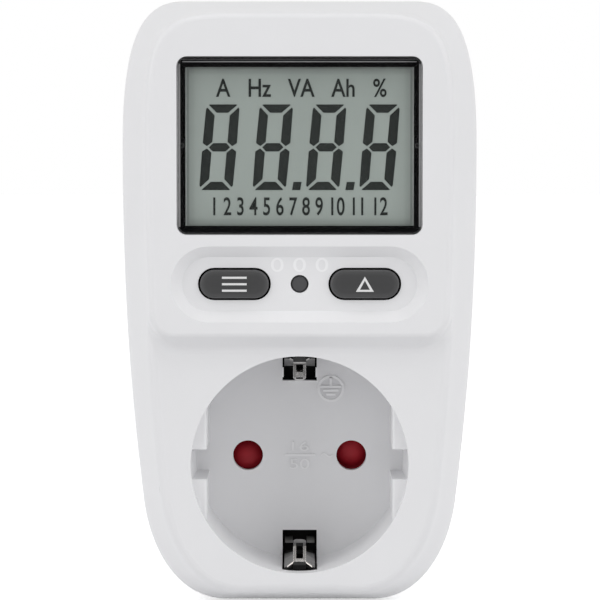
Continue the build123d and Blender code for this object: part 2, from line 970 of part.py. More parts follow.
def shunt():
    """Bridge of flat metal that the load current flows through."""
    post = plate(shunt_thickness, shunt_width, board_back_y, board_back_y + shunt_height, 0, shunt_z)
    beam_y = board_back_y + shunt_height
    bridge = plate(shunt_span, shunt_width, beam_y - shunt_thickness, beam_y, shunt_x, shunt_z)
    for side in (-1, 1):
        bridge += Pos(shunt_x + side * (shunt_span - shunt_thickness) / 2, 0, 0) * post
    return bridge


def shutter():
    """Two-winged shutter: each wing covers a pin hole and has a dome that a pin tip slides off."""
    disc = Circle(shutter_reach)
    half_angle = math.radians(shutter_wing_angle / 2)
    far = 2 * shutter_reach
    wedge = make_face(
        Polyline(
            (0, 0),
            (far * math.cos(half_angle), far * math.sin(half_angle)),
            (far * math.cos(half_angle), -far * math.sin(half_angle)),
            close=True,
        )
    )
    wings = disc & (wedge + mirror(wedge, about=Plane.YZ))
    plan = wings + Circle(shutter_hub_radius)
    plate_y = shutter_back_y - shutter_plate_thickness
    part = slab(plan, plate_y, shutter_back_y)
    part = fillet(edges_at(part, plate_y), shutter_edge_round)
    part += rod(shutter_hub_radius - shutter_edge_round, shutter_y, plate_y + shutter_edge_round)
    rise = shutter_thickness - shutter_plate_thickness
    sphere_radius = (shutter_dome_radius**2 + rise**2) / (2 * rise)
    for side in (-1, 1):
        x, z = side * pin_x, side * shutter_dome_offset
        cap = Pos(x, shutter_y + sphere_radius, z) * Sphere(sphere_radius)
        part += cap & rod(shutter_dome_radius, shutter_y - cut_overrun, shutter_back_y, x, z)
    return part - rod(pivot_radius + shutter_bore_gap, shutter_y - cut_overrun, shutter_back_y + cut_overrun)


def shutter_spring():
    """Coil spring that turns the shutter back over the pin holes."""
    half_angle = math.radians(shutter_wing_angle / 2)
    edge_x = spring_x + spring_coil_radius + spring_wire / 2
    top_z = -edge_x * math.tan(half_angle) - spring_end_gap - spring_wire / 2
    low_z = -spring_seat_z + spring_wire / 2
    coil = Helix(
        pitch=(top_z - low_z) / spring_turns,
        height=top_z - low_z,
        radius=spring_coil_radius,
        center=(spring_x, (shutter_y + shutter_back_y) / 2, low_z),
    )
    section = Plane(origin=coil @ 0, z_dir=coil % 0) * Circle(spring_wire / 2)
    return sweep(section, path=coil, is_frenet=True)


def contact_carrier():
    """Black carrier on the back of the cup: shutter chamber, contact bores and clip channels."""
    carrier = rod(carrier_radius, floor_back_y, carrier_back_y)
    carrier -= rod(chamber_radius, floor_back_y - cut_overrun, chamber_y)
    carrier += rod(pivot_radius, shutter_y, chamber_y + cut_overrun)
    seat_height = chamber_radius - spring_seat_z
    carrier += plate(
        spring_seat_width,
        seat_height,
        floor_back_y,
        chamber_y + cut_overrun,
        spring_x,
        -spring_seat_z - seat_height / 2,
    )
    for side in (-1, 1):
        carrier -= rod(
            contact_outer_radius + contact_gap, floor_back_y, carrier_back_y + cut_overrun, side * pin_x
        )
        carrier -= plate(
            clip_window_width,
            carrier_radius - clip_window_inner + cut_overrun,
            floor_back_y - cut_overrun,
            floor_back_y + clip_channel_depth,
            z=side * (carrier_radius + cut_overrun + clip_window_inner) / 2,
        )
        carrier -= plate(
            clip_window_width,
            carrier_radius - clip_channel_z + cut_overrun,
            floor_back_y - cut_overrun,
            carrier_back_y + cut_overrun,
            z=side * (carrier_radius + cut_overrun + clip_channel_z) / 2,
        )
    for x, z in carrier_screw_places():
        carrier -= rod(
            carrier_boss_radius + carrier_boss_gap,
            floor_back_y - cut_overrun,
            floor_back_y + carrier_boss_length + carrier_boss_gap,
            x,
            z,
        )
        carrier -= rod(
            carrier_screw_radius + screw_clearance, floor_back_y, carrier_back_y + cut_overrun, x, z
        )
    return carrier


def socket_contact(side):
    """Slit tube that grips a pin, with a collar on the carrier, an end web and a solder tail."""
    x = side * pin_x
    front_y = chamber_y + contact_front_gap
    tube = rod(contact_outer_radius, front_y, contact_web_back_y, x)
    tube += rod(contact_collar_radius, carrier_back_y, carrier_back_y + contact_collar_thickness, x)
    tube -= rod(contact_bore_radius, front_y - cut_overrun, contact_web_y, x)
    tube -= plate(
        contact_slit, 4 * contact_outer_radius, front_y - cut_overrun, carrier_back_y - contact_slit, x
    )
    tail = plate(
        contact_tail_width, contact_tail_reach, contact_web_y, contact_web_back_y, x, contact_tail_reach / 2
    )
    return tube + tail


def side_plane(x):
    """Plane along the object at x, seen from the right: u is +Y and v is +Z."""
    return Plane(origin=(x, 0, 0), x_dir=(0, 1, 0), z_dir=(1, 0, 0))


def upper_clip():
    """Earth clip of sprung sheet: outer leg, front bend, bowed strap with a slot, and two side wings."""
    front_y = face_y + clip_front_depth
    crown_y = face_y + clip_crown_depth
    path = FilletPolyline(
        (front_y + clip_leg_width, clip_leg_z),
        (front_y, clip_leg_z),
        (front_y + clip_sheet / 2, clip_shoulder_z),
        (crown_y, clip_crown_z),
        (face_y + clip_tip_depth, clip_tip_z),
        radius=(clip_bend_radius, clip_bend_radius, clip_crown_radius),
    )
    strap = extrude(
        side_plane(-clip_strap_width / 2) * trace(path, clip_sheet), amount=clip_strap_width
    )
    slot_z = (clip_shoulder_z + clip_crown_z) / 2
    strap -= plate(
        clip_slot_width, clip_slot_height, front_y - cut_overrun, crown_y - clip_sheet, z=slot_z
    )
    leg = plate(
        clip_leg_width, clip_sheet, front_y + clip_bend_radius, bracket_back_y, z=clip_leg_z
    )
    inner_x = clip_strap_width / 2 - clip_wing_sheet / 2
    outer_x = clip_leg_width / 2
    wing_plan = make_face(
        Polyline(
            (inner_x, clip_wing_front_z),
            (outer_x, clip_wing_front_z + clip_wing_slope),
            (outer_x, clip_wing_front_z + clip_wing_slope + clip_wing_sheet),
            (inner_x, clip_wing_front_z + clip_wing_sheet),
            close=True,
        )
    )
    wing = extrude(
        front_plane(front_y) * wing_plan,
        amount=clip_wing_length,
        dir=(0, clip_wing_length, clip_wing_back_z - clip_wing_front_z),
    )
    return strap + leg + both_sides(wing)


def lower_clip():
    return mirror(upper_clip(), about=Plane.XY)


def earth_bracket():
    """Brass bracket across the back of the carrier, with a leg bent forward under each clip."""
    leg_outer_z = clip_leg_z - clip_sheet / 2
    web = plate(bracket_width, 2 * leg_outer_z, carrier_back_y, bracket_back_y)
    leg = plate(
        bracket_width,
        bracket_thickness,
        carrier_back_y - bracket_leg_length,
        bracket_back_y,
        z=leg_outer_z - bracket_thickness / 2,
    )
    return web + both_ends(leg)


def upper_strip():
    """Earth strip in its recess on the plug, through the back wall to a foot on the bracket."""
    centre_z = earth_strip_z + earth_strip_thickness / 2
    foot_y = bracket_back_y + earth_strip_thickness
    strip = plate(
        earth_strip_width, earth_strip_thickness, bracket_back_y, -earth_strip_setback, z=centre_z
    )
    foot_z = earth_strip_z + earth_strip_thickness - earth_strip_foot / 2
    return strip + plate(earth_strip_width, earth_strip_foot, bracket_back_y, foot_y, z=foot_z)


def lower_strip():
    return mirror(upper_strip(), about=Plane.XY)


def plug_pin(side):
    """Solid plug pin with a rounded tip, a thicker root in the end wall, a flange and a wiring shank."""
    x = side * pin_x
    pin = rod(pin_radius, -plug_end_wall, pin_length, x)
    pin = fillet(edges_at(pin, pin_length), pin_tip_round)
    pin += rod(pin_root_radius, -plug_end_wall, 0, x)
    flange_y = -plug_end_wall - pin_flange_thickness
    pin += rod(pin_flange_radius, flange_y, -plug_end_wall, x)
    return pin + rod(pin_shank_radius, shank_y, flange_y, x)


def neutral_strap():
    """Bent strip that joins the neutral pin to the tail of the neutral contact."""
    back = plate(
        strap_width, strap_reach + strap_tail, shank_y - strap_thickness, shank_y, pin_x,
        (strap_reach - strap_tail) / 2,
    )
    beam = plate(
        strap_width, strap_thickness, contact_web_back_y, shank_y, pin_x, strap_reach - strap_thickness / 2
    )
    end_height = strap_reach / 2
    end = plate(
        strap_width,
        end_height,
        contact_web_back_y,
        contact_web_back_y + strap_thickness,
        pin_x,
        strap_reach - end_height / 2,
    )
    return back + beam + end


def lead(points, radius):
    """Round lead along straight runs joined by arcs as large as the shorter run beside each allows."""
    places = [Vector(point) for point in points]
    bends = []
    for before, corner, after in zip(places, places[1:], places[2:]):
        turn = math.radians((corner - before).get_angle(after - corner))
        shorter = min((corner - before).length, (after - corner).length)
        bends.append(bend_share * shorter / math.tan(turn / 2))
    route = FilletPolyline(places, radius=bends)
    start = Plane(origin=route @ 0, z_dir=route % 0)
    return sweep(start * Circle(radius), path=route)


def supply_lead():
    """Live lead from the plug pin's shank up behind the carrier to the board."""
    slot_y = (carrier_back_y + back_inner_y) / 2
    turn_y = shank_y - lead_turn
    return lead(
        (
            (-pin_x, shank_y, 0),
            (-pin_x, turn_y, 0),
            (-inner_lead_x, turn_y, lead_rise_z),
            (-inner_lead_x, slot_y, lead_exit_z),
            (-inner_lead_x, slot_y, carrier_radius + lead_turn),
            (-supply_pad_x, board_back_y + 2 * lead_turn, pad_z),
            (-supply_pad_x, board_back_y, pad_z),
        ),
        lead_radius,
    )


def load_lead():
    """Live lead from the board down to the tail of the live contact."""
    slot_y = (carrier_back_y + back_inner_y) / 2
    turn_y = contact_web_back_y + lead_turn
    return lead(
        (
            (-pin_x, contact_web_back_y, contact_tail_reach - 2 * lead_radius),
            (-pin_x, turn_y, contact_tail_reach - 2 * lead_radius),
            (-outer_lead_x, turn_y, lead_rise_z + lead_radius),
            (-outer_lead_x, slot_y, lead_exit_z + lead_radius),
            (-outer_lead_x, slot_y, carrier_radius + lead_turn),
            (-load_pad_x, board_back_y + 2 * lead_turn, pad_z),
            (-load_pad_x, board_back_y, pad_z),
        ),
        lead_radius,
    )


def sense_lead():
    """Thin neutral lead from the strap up to the board."""
    slot_y = (carrier_back_y + back_inner_y) / 2
    start_y = (contact_web_back_y + shank_y) / 2
    return lead(
        (
            (pin_x, start_y, strap_reach),
            (pin_x, start_y, lead_rise_z),
            (inner_lead_x, slot_y, lead_exit_z),
            (inner_lead_x, slot_y, carrier_radius + lead_turn),
            (sense_pad_x, board_back_y + 2 * lead_turn, pad_z),
            (sense_pad_x, board_back_y, pad_z),
        ),
        sense_lead_radius,
    )


def screws(places, shank_radius, head_radius, head_height, length, seat_y):
    """Pan-head screws that point forward from their seat, each with a cross in its head."""
    found = []
    head_y = seat_y + head_height
    cross = screw_cross_share * 2 * head_radius
    for x, z in places:
        head = rod(head_radius, seat_y, head_y, x, z)
        head = fillet(edges_at(head, head_y), head_round_share * head_height)
        for width, height in ((cross, screw_slot_width), (screw_slot_width, cross)):
            head -= plate(width, height, head_y - screw_slot_depth, head_y + cut_overrun, x, z)
        found.append(head + rod(shank_radius, seat_y - length, seat_y, x, z))
    return Compound(children=found)


def housing_screws():
    return screws(
        housing_screw_places(),
        housing_screw_radius,
        housing_screw_head_radius,
        housing_screw_head_height,
        housing_screw_length,
        screw_seat_y,
    )


def board_screws():
    return screws(
        board_screw_places(),
        board_screw_radius,
        board_screw_head_radius,
        board_screw_head_height,
        board_screw_length,
        board_back_y,
    )


def carrier_screws():
    return screws(
        carrier_screw_places(),
        carrier_screw_radius,
        carrier_screw_head_radius,
        carrier_screw_head_height,
        carrier_screw_length,
        carrier_back_y,
    )


def save_pieces():
    """Write every piece in its place, one file each."""
    pieces = {
        "front_cover": front_cover(),
        "rear_cover": rear_cover(),
        "display_lens": display_lens(),
        "lcd_frame": lcd_frame(),
        "lcd_glass": lcd_glass(),
        "lcd_reflector": lcd_reflector(),
        "upper_connector_strip": connector_strip(1),
        "lower_connector_strip": connector_strip(-1),
        "mode_button": long_key(-key_offset),
        "up_button": long_key(key_offset),
        "reset_button": small_key(),
        "mode_plunger": switch_plunger(-key_offset),
        "up_plunger": switch_plunger(key_offset),
        "reset_plunger": switch_plunger(0),
        "mode_switch": key_switch(-key_offset),
        "up_switch": key_switch(key_offset),
        "reset_switch": key_switch(0),
        "main_board": main_board(),
        "metering_chip": metering_chip(),
        "controller_chip": controller_chip(),
        "dropper_capacitor": dropper_capacitor(),
        "smoothing_capacitor": smoothing_capacitor(),
        "varistor": varistor(),
        "crystal": crystal(),
        "backup_cell": backup_cell(),
        "shunt": shunt(),
        "shutter": shutter(),
        "shutter_spring": shutter_spring(),
        "contact_carrier": contact_carrier(),
        "live_contact": socket_contact(-1),
        "neutral_contact": socket_contact(1),
        "upper_earth_clip": upper_clip(),
        "lower_earth_clip": lower_clip(),
        "earth_bracket": earth_bracket(),
        "upper_earth_strip": upper_strip(),
        "lower_earth_strip": lower_strip(),
        "live_pin": plug_pin(-1),
        "neutral_pin": plug_pin(1),
        "neutral_strap": neutral_strap(),
        "supply_lead": supply_lead(),
        "load_lead": load_lead(),
        "sense_lead": sense_lead(),
        "housing_screws": housing_screws(),
        "board_screws": board_screws(),
        "carrier_screws": carrier_screws(),
    }
    os.makedirs("parts", exist_ok=True)
    for name, piece in pieces.items():
        export_step(piece, f"parts/{name}.step")


save_pieces()
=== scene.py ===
import math

import bmesh
import bpy
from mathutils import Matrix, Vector


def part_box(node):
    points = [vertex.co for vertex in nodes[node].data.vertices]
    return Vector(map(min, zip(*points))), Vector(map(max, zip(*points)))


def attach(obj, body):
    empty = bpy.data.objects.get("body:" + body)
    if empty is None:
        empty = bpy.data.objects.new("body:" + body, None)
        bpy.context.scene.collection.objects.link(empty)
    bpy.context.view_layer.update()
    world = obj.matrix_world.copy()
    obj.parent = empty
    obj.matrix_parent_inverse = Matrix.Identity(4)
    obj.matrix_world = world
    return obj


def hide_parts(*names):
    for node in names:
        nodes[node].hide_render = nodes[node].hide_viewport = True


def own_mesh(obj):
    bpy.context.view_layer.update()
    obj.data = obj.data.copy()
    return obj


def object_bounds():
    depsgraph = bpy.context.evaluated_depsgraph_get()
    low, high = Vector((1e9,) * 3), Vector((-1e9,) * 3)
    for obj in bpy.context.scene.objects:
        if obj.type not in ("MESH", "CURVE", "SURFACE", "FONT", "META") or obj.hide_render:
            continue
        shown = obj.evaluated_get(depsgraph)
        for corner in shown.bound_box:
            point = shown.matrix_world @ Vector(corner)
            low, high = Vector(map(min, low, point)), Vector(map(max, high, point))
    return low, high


# Looks of a plug-in energy monitor: the finish of each piece, the display's segments, the marks on its
# keys and socket floor, the earth clips as bent sheet, the return spring, soft light and the camera.
# Sizes are in metres, except where a comment says millimetres.
mm = 0.001

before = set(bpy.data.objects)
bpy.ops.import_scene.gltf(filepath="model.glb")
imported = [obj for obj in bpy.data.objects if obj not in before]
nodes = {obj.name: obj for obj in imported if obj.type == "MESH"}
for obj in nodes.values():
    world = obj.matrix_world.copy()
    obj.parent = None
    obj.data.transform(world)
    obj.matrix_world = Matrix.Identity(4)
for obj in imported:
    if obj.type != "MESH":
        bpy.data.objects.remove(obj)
cad_box = [list(corner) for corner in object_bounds()]

# Places that several pieces and finishes share
key_x = 11.6 * mm
key_z = 32.5 * mm
view_half = 20.35 * mm
view_low_z = 42.75 * mm
view_high_z = 71.05 * mm
view_middle = (view_low_z + view_high_z) / 2
view_height = view_high_z - view_low_z
lip_top_z = -15.68 * mm
lip_height = 1.26 * mm

# Front of the clips and length of their wings, in millimetres
clip_front_y = -50.4
wing_length = 6.4


# Materials


# Cells per metre of the noise behind colour drift, gloss and grain
plastic_drift, plastic_gloss, plastic_grain = 60, 900, 5200
metal_drift, metal_gloss, metal_grain = 420, 1500, 3800
clear_drift = 90


def shader(name):
    """A new node material and its main shader."""
    material = bpy.data.materials.new(name)
    material.use_nodes = True
    return material, material.node_tree, material.node_tree.nodes["Principled BSDF"]


def noise(tree, scale, detail):
    """Noise over the object's own space."""
    place = tree.nodes.new("ShaderNodeTexCoord")
    texture = tree.nodes.new("ShaderNodeTexNoise")
    texture.inputs["Scale"].default_value = scale
    texture.inputs["Detail"].default_value = detail
    tree.links.new(place.outputs["Object"], texture.inputs["Vector"])
    return texture.outputs["Fac"]


def ramp(tree, value, low, high, start=0.3, end=0.7):
    """Colour that runs from low to high as a value runs from start to end."""
    node = tree.nodes.new("ShaderNodeValToRGB")
    node.color_ramp.elements[0].position = start
    node.color_ramp.elements[0].color = (*low, 1)
    node.color_ramp.elements[1].position = end
    node.color_ramp.elements[1].color = (*high, 1)
    tree.links.new(value, node.inputs["Fac"])
    return node.outputs["Color"]


def between(tree, value, low, high):
    """Number that runs from low to high as a value runs from 0 to 1."""
    node = tree.nodes.new("ShaderNodeMapRange")
    node.inputs["To Min"].default_value = low
    node.inputs["To Max"].default_value = high
    tree.links.new(value, node.inputs["Value"])
    return node.outputs["Result"]


def worked(tree, operation, first, second=None, third=None):
    """Result of one sum on values or plain numbers."""
    node = tree.nodes.new("ShaderNodeMath")
    node.operation = operation
    for place, value in enumerate((first, second, third)):
        if value is None:
            continue
        if isinstance(value, (int, float)):
            node.inputs[place].default_value = value
        else:
            tree.links.new(value, node.inputs[place])
    return node.outputs["Value"]


def object_place(tree):
    """The three coordinates of a surface point in the shared frame."""
    place = tree.nodes.new("ShaderNodeTexCoord")
    parts = tree.nodes.new("ShaderNodeSeparateXYZ")
    tree.links.new(place.outputs["Object"], parts.inputs["Vector"])
    return parts.outputs["X"], parts.outputs["Y"], parts.outputs["Z"]


def curve_ramp(tree, value, stops):
    """Colour along a value, through several stops of position and colour."""
    node = tree.nodes.new("ShaderNodeValToRGB")
    node.color_ramp.interpolation = "EASE"
    elements = node.color_ramp.elements
    while len(elements) < len(stops):
        elements.new(1.0)
    for element, (position, colour) in zip(elements, stops):
        element.position = position
        element.color = (*colour, 1)
    tree.links.new(value, node.inputs["Fac"])
    return node.outputs["Color"]


def times(tree, first, second):
    """Product of two colours."""
    node = tree.nodes.new("ShaderNodeMix")
    node.data_type = "RGBA"
    node.blend_type = "MULTIPLY"
    node.inputs["Factor"].default_value = 1.0
    tree.links.new(first, node.inputs["A"])
    tree.links.new(second, node.inputs["B"])
    return node.outputs["Result"]


def bumps(tree, bsdf, height, depth):
    """Fine relief of a given depth."""
    node = tree.nodes.new("ShaderNodeBump")
    node.inputs["Distance"].default_value = depth
    node.inputs["Strength"].default_value = 1.0
    tree.links.new(height, node.inputs["Height"])
    tree.links.new(node.outputs["Normal"], bsdf.inputs["Normal"])


def tint(material, value, stops):
    """Multiply the base colour by grey steps along a value of the surface's place."""
    tree = material.node_tree
    bsdf = tree.nodes["Principled BSDF"]
    tone = curve_ramp(tree, value, [(position, (grey,) * 3) for position, grey in stops])
    base = bsdf.inputs["Base Color"].links[0].from_socket
    tree.links.new(times(tree, base, tone), bsdf.inputs["Base Color"])


def drifting(tree, bsdf, scale, detail, colour, vary):
    """Base colour that drifts a little darker and lighter than the one given."""
    low = [channel * (1 - vary) for channel in colour]
    high = [min(1, channel * (1 + vary)) for channel in colour]
    tree.links.new(ramp(tree, noise(tree, scale, detail), low, high), bsdf.inputs["Base Color"])


def plastic(name, colour, roughness, grain=0.012 * mm, vary=0.03, specular=0.5):
    """Moulded plastic: faint colour drift, fine grain and a slightly uneven gloss."""
    material, tree, bsdf = shader(name)
    drifting(tree, bsdf, plastic_drift, 2, colour, vary)
    gloss = between(tree, noise(tree, plastic_gloss, 3), roughness * 0.9, roughness * 1.12)
    tree.links.new(gloss, bsdf.inputs["Roughness"])
    bsdf.inputs["Specular IOR Level"].default_value = specular
    bumps(tree, bsdf, noise(tree, plastic_grain, 2), grain)
    return material


def metal(name, colour, roughness, grain=0.006 * mm, vary=0.08):
    """Plated or plain metal with fine grain and uneven polish."""
    material, tree, bsdf = shader(name)
    bsdf.inputs["Metallic"].default_value = 1.0
    drifting(tree, bsdf, metal_drift, 4, colour, vary)
    gloss = between(tree, noise(tree, metal_gloss, 3), roughness * 0.75, roughness * 1.3)
    tree.links.new(gloss, bsdf.inputs["Roughness"])
    bumps(tree, bsdf, noise(tree, metal_grain, 2), grain)
    return material


def clear(name, colour, alpha, edge_alpha, specular, roughness=0.04):
    """Clear moulding: faces square to the front are clearer than its edges."""
    material, tree, bsdf = shader(name)
    low = [channel * 0.97 for channel in colour]
    drift = noise(tree, clear_drift, 2)
    tree.links.new(ramp(tree, drift, low, colour), bsdf.inputs["Base Color"])
    bsdf.inputs["Roughness"].default_value = roughness
    bsdf.inputs["Specular IOR Level"].default_value = specular
    geometry = tree.nodes.new("ShaderNodeNewGeometry")
    parts = tree.nodes.new("ShaderNodeSeparateXYZ")
    tree.links.new(geometry.outputs["True Normal"], parts.inputs["Vector"])
    opacity = tree.nodes.new("ShaderNodeMapRange")
    opacity.inputs["From Min"].default_value = 0.8
    opacity.inputs["From Max"].default_value = 0.98
    opacity.inputs["To Min"].default_value = edge_alpha
    opacity.inputs["To Max"].default_value = alpha
    tree.links.new(worked(tree, "ABSOLUTE", parts.outputs["Y"]), opacity.inputs["Value"])
    tree.links.new(opacity.outputs["Result"], bsdf.inputs["Alpha"])
    return material


def paint_key_rim_highlight(material, centre_x, centre_z, straight, radius):
    """Painted highlight: base colour that lightens from the middle of a slot-shaped key to its rim."""
    tree = material.node_tree
    x, _, z = object_place(tree)
    across = worked(tree, "SUBTRACT", worked(tree, "ABSOLUTE", x), centre_x)
    past_straight = worked(tree, "SUBTRACT", worked(tree, "ABSOLUTE", across), straight)
    beyond = worked(tree, "MAXIMUM", past_straight, 0.0)
    up = worked(tree, "SUBTRACT", z, centre_z)
    beyond_squared = worked(tree, "MULTIPLY", beyond, beyond)
    up_squared = worked(tree, "MULTIPLY", up, up)
    far = worked(tree, "SQRT", worked(tree, "ADD", beyond_squared, up_squared))
    share = worked(tree, "DIVIDE", far, radius)
    tint(material, share, [(0.0, 0.84), (0.55, 0.9), (0.85, 1.25), (0.97, 1.9)])


def paint_cell_light_and_shade(material, half_width, centre_z, half_height):
    """Base colour of the cell with painted light and shade: lighter towards the sides, then a narrow
    dark margin all round as painted shadow of the frame.
    """
    tree = material.node_tree
    x, _, z = object_place(tree)
    across = worked(tree, "DIVIDE", worked(tree, "ABSOLUTE", x), half_width)
    off_centre = worked(tree, "ABSOLUTE", worked(tree, "SUBTRACT", z, centre_z))
    up = worked(tree, "DIVIDE", off_centre, half_height)
    tint(material, across, [(0.0, 0.94), (0.6, 0.98), (0.9, 1.13), (0.955, 0.98), (0.985, 0.84)])
    tint(material, up, [(0.0, 1.0), (0.88, 1.02), (0.96, 0.84), (1.0, 0.6)])


def painted_shade_wing_metal(name, stops):
    """Nickel of a wing, with a painted reflection at its front edge that fades to painted shade at its
    back edge.
    """
    material = metal(name, (0.27, 0.265, 0.26), 0.3, vary=0.2)
    tree = material.node_tree
    behind = worked(tree, "ADD", object_place(tree)[1], -clip_front_y * mm)
    tint(material, worked(tree, "DIVIDE", behind, wing_length * mm), stops)
    return material


housing = plastic("housing_plastic", (0.80, 0.80, 0.812), 0.42, vary=0.008)
black = plastic("black_plastic", (0.022, 0.022, 0.023), 0.45)
carrier_black = plastic("carrier_plastic", (0.004, 0.004, 0.004), 0.55, specular=0.12)
frame_black = plastic("frame_plastic", (0.0015, 0.0015, 0.0018), 0.35, specular=0.04)
key_plastic = plastic("key_plastic", (0.042, 0.042, 0.043), 0.5, vary=0.06, specular=0.35)
# The keys' lighter rims are a painted highlight
paint_key_rim_highlight(key_plastic, key_x, key_z, straight=3.6 * mm, radius=2.53 * mm)
small_key_plastic = plastic(
    "small_key_plastic", (0.06, 0.06, 0.063), 0.45, vary=0.06, specular=0.3
)
shutter_plastic = plastic(
    "shutter_plastic", (0.37, 0.012, 0.022), 0.42, vary=0.06, specular=0.22
)
white_film = plastic("reflector_film", (0.8, 0.8, 0.78), 0.6)
lcd_glass = plastic(
    "lcd_cell", (0.36, 0.405, 0.378), 0.4, grain=0.002 * mm, vary=0.015, specular=0.2
)
# Painted light towards the cell's sides and painted shadow of the frame round its margin
paint_cell_light_and_shade(lcd_glass, view_half, view_middle, view_height / 2)
elastomer = plastic("elastomer", (0.35, 0.35, 0.36), 0.7)
plunger_plastic = plastic("plunger_plastic", (0.55, 0.53, 0.48), 0.5)
board_green = plastic("board_lacquer", (0.05, 0.22, 0.10), 0.35, vary=0.12)
box_yellow = plastic("capacitor_box", (0.66, 0.55, 0.10), 0.35)
can_sleeve = plastic("capacitor_sleeve", (0.03, 0.04, 0.10), 0.3)
varistor_blue = plastic("varistor_coat", (0.04, 0.13, 0.38), 0.3)
brown_wire = plastic("brown_insulation", (0.16, 0.07, 0.035), 0.45)
blue_wire = plastic("blue_insulation", (0.03, 0.12, 0.38), 0.45)
lens_clear = clear("lens_acrylic", (0.12, 0.12, 0.12), alpha=0.02, edge_alpha=0.5, specular=0.09)
nickel = metal("nickel_plate", (0.70, 0.67, 0.63), 0.22)
# Darker copies of nickel, which paint half shade and shade on the clips and the bracket in the recess
nickel_half_shade = metal("nickel_half_shade", (0.27, 0.265, 0.26), 0.3, vary=0.2)
nickel_shade = metal("nickel_shade", (0.032, 0.032, 0.032), 0.35, vary=0.3)
upper_wing_metal = painted_shade_wing_metal(
    "upper_wing_painted_shade",
    [(0.0, 1.05), (0.14, 0.85), (0.29, 0.41), (0.43, 0.28), (0.57, 0.19), (0.71, 0.14), (0.92, 0.06)],
)
lower_wing_metal = painted_shade_wing_metal(
    "lower_wing_painted_shade", [(0.0, 1.1), (0.62, 1.0), (0.8, 0.5), (1.0, 0.1)]
)

strap_metal = metal("strap_nickel", (0.9, 0.88, 0.85), 0.25, vary=0.04)
strap_tree = strap_metal.node_tree
# Painted shade in the middle of each rail of the strap and a painted highlight at its outer edge
strap_shade_width = 1.2 * mm
from_middle = worked(strap_tree, "ABSOLUTE", object_place(strap_tree)[0])
tint(
    strap_metal, worked(strap_tree, "DIVIDE", from_middle, strap_shade_width),
    [(0.0, 0.95), (0.55, 1.0), (0.62, 0.85), (0.72, 0.62), (0.8, 0.7), (0.9, 1.1)],
)

# The carrier's lip: darker at its top and lighter towards its bottom, as painted shade and painted
# light
carrier_lip = plastic(
    "carrier_lip_painted_light", (0.3, 0.3, 0.29), 0.5, grain=0.03 * mm, vary=0.4, specular=0.2
)
lip_tree = carrier_lip.node_tree
below_top = worked(lip_tree, "SUBTRACT", lip_top_z, object_place(lip_tree)[2])
tint(
    carrier_lip, worked(lip_tree, "DIVIDE", below_top, lip_height),
    [(0.0, 0.12), (0.25, 0.5), (0.5, 1.1), (0.75, 1.9), (1.0, 2.3)],
)
steel = metal("bright_steel", (0.58, 0.58, 0.59), 0.28)
brass = metal("brass_sheet", (0.72, 0.55, 0.26), 0.3)
copper = metal("copper_sheet", (0.72, 0.40, 0.24), 0.32)

finishes = {
    "front_cover": housing,
    "rear_cover": housing,
    "display_lens": lens_clear,
    "lcd_frame": frame_black,
    "lcd_glass": lcd_glass,
    "lcd_reflector": white_film,
    "upper_connector_strip": elastomer,
    "lower_connector_strip": elastomer,
    "mode_button": key_plastic,
    "up_button": key_plastic,
    "reset_button": small_key_plastic,
    "mode_plunger": plunger_plastic,
    "up_plunger": plunger_plastic,
    "reset_plunger": plunger_plastic,
    "mode_switch": black,
    "up_switch": black,
    "reset_switch": black,
    "main_board": board_green,
    "metering_chip": black,
    "controller_chip": black,
    "dropper_capacitor": box_yellow,
    "smoothing_capacitor": can_sleeve,
    "varistor": varistor_blue,
    "crystal": steel,
    "backup_cell": steel,
    "shunt": copper,
    "shutter": shutter_plastic,
    "shutter_spring": steel,
    "contact_carrier": carrier_black,
    "live_contact": brass,
    "neutral_contact": brass,
    "upper_earth_clip": nickel,
    "lower_earth_clip": nickel,
    # The bracket gets the darker nickel copy as painted shade
    "earth_bracket": nickel_shade,
    "upper_earth_strip": nickel,
    "lower_earth_strip": nickel,
    "live_pin": nickel,
    "neutral_pin": nickel,
    "neutral_strap": copper,
    "supply_lead": brown_wire,
    "load_lead": brown_wire,
    "sense_lead": blue_wire,
    "housing_screws": steel,
    "board_screws": steel,
    "carrier_screws": steel,
}
for node_name, material in finishes.items():
    for material_slot in nodes[node_name].material_slots:
        material_slot.material = material


# Flat marks


def add_piece(name, mesh, body):
    """Put a mesh into the scene as a piece that rides on a body."""
    piece = bpy.data.objects.new(name, mesh)
    bpy.context.scene.collection.objects.link(piece)
    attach(piece, body)
    return piece


def flat_piece(name, outlines, y_front, depth, material, body="housing"):
    """Thin piece facing the front, from closed outlines of (x, z) in metres."""
    mesh = bpy.data.meshes.new(name)
    form = bmesh.new()
    for outline in outlines:
        corners = zip(outline, outline[1:] + outline[:1])
        area = sum(ax * bz - bx * az for (ax, az), (bx, bz) in corners)
        points = outline if area > 0 else outline[::-1]
        front = [form.verts.new((x, y_front, z)) for x, z in points]
        back = [form.verts.new((x, y_front + depth, z)) for x, z in points]
        form.faces.new(front)
        form.faces.new(back[::-1])
        for number in range(len(points)):
            after = (number + 1) % len(points)
            form.faces.new((front[after], front[number], back[number], back[after]))
    form.to_mesh(mesh)
    form.free()
    mesh.materials.append(material)
    return add_piece(name, mesh, body)


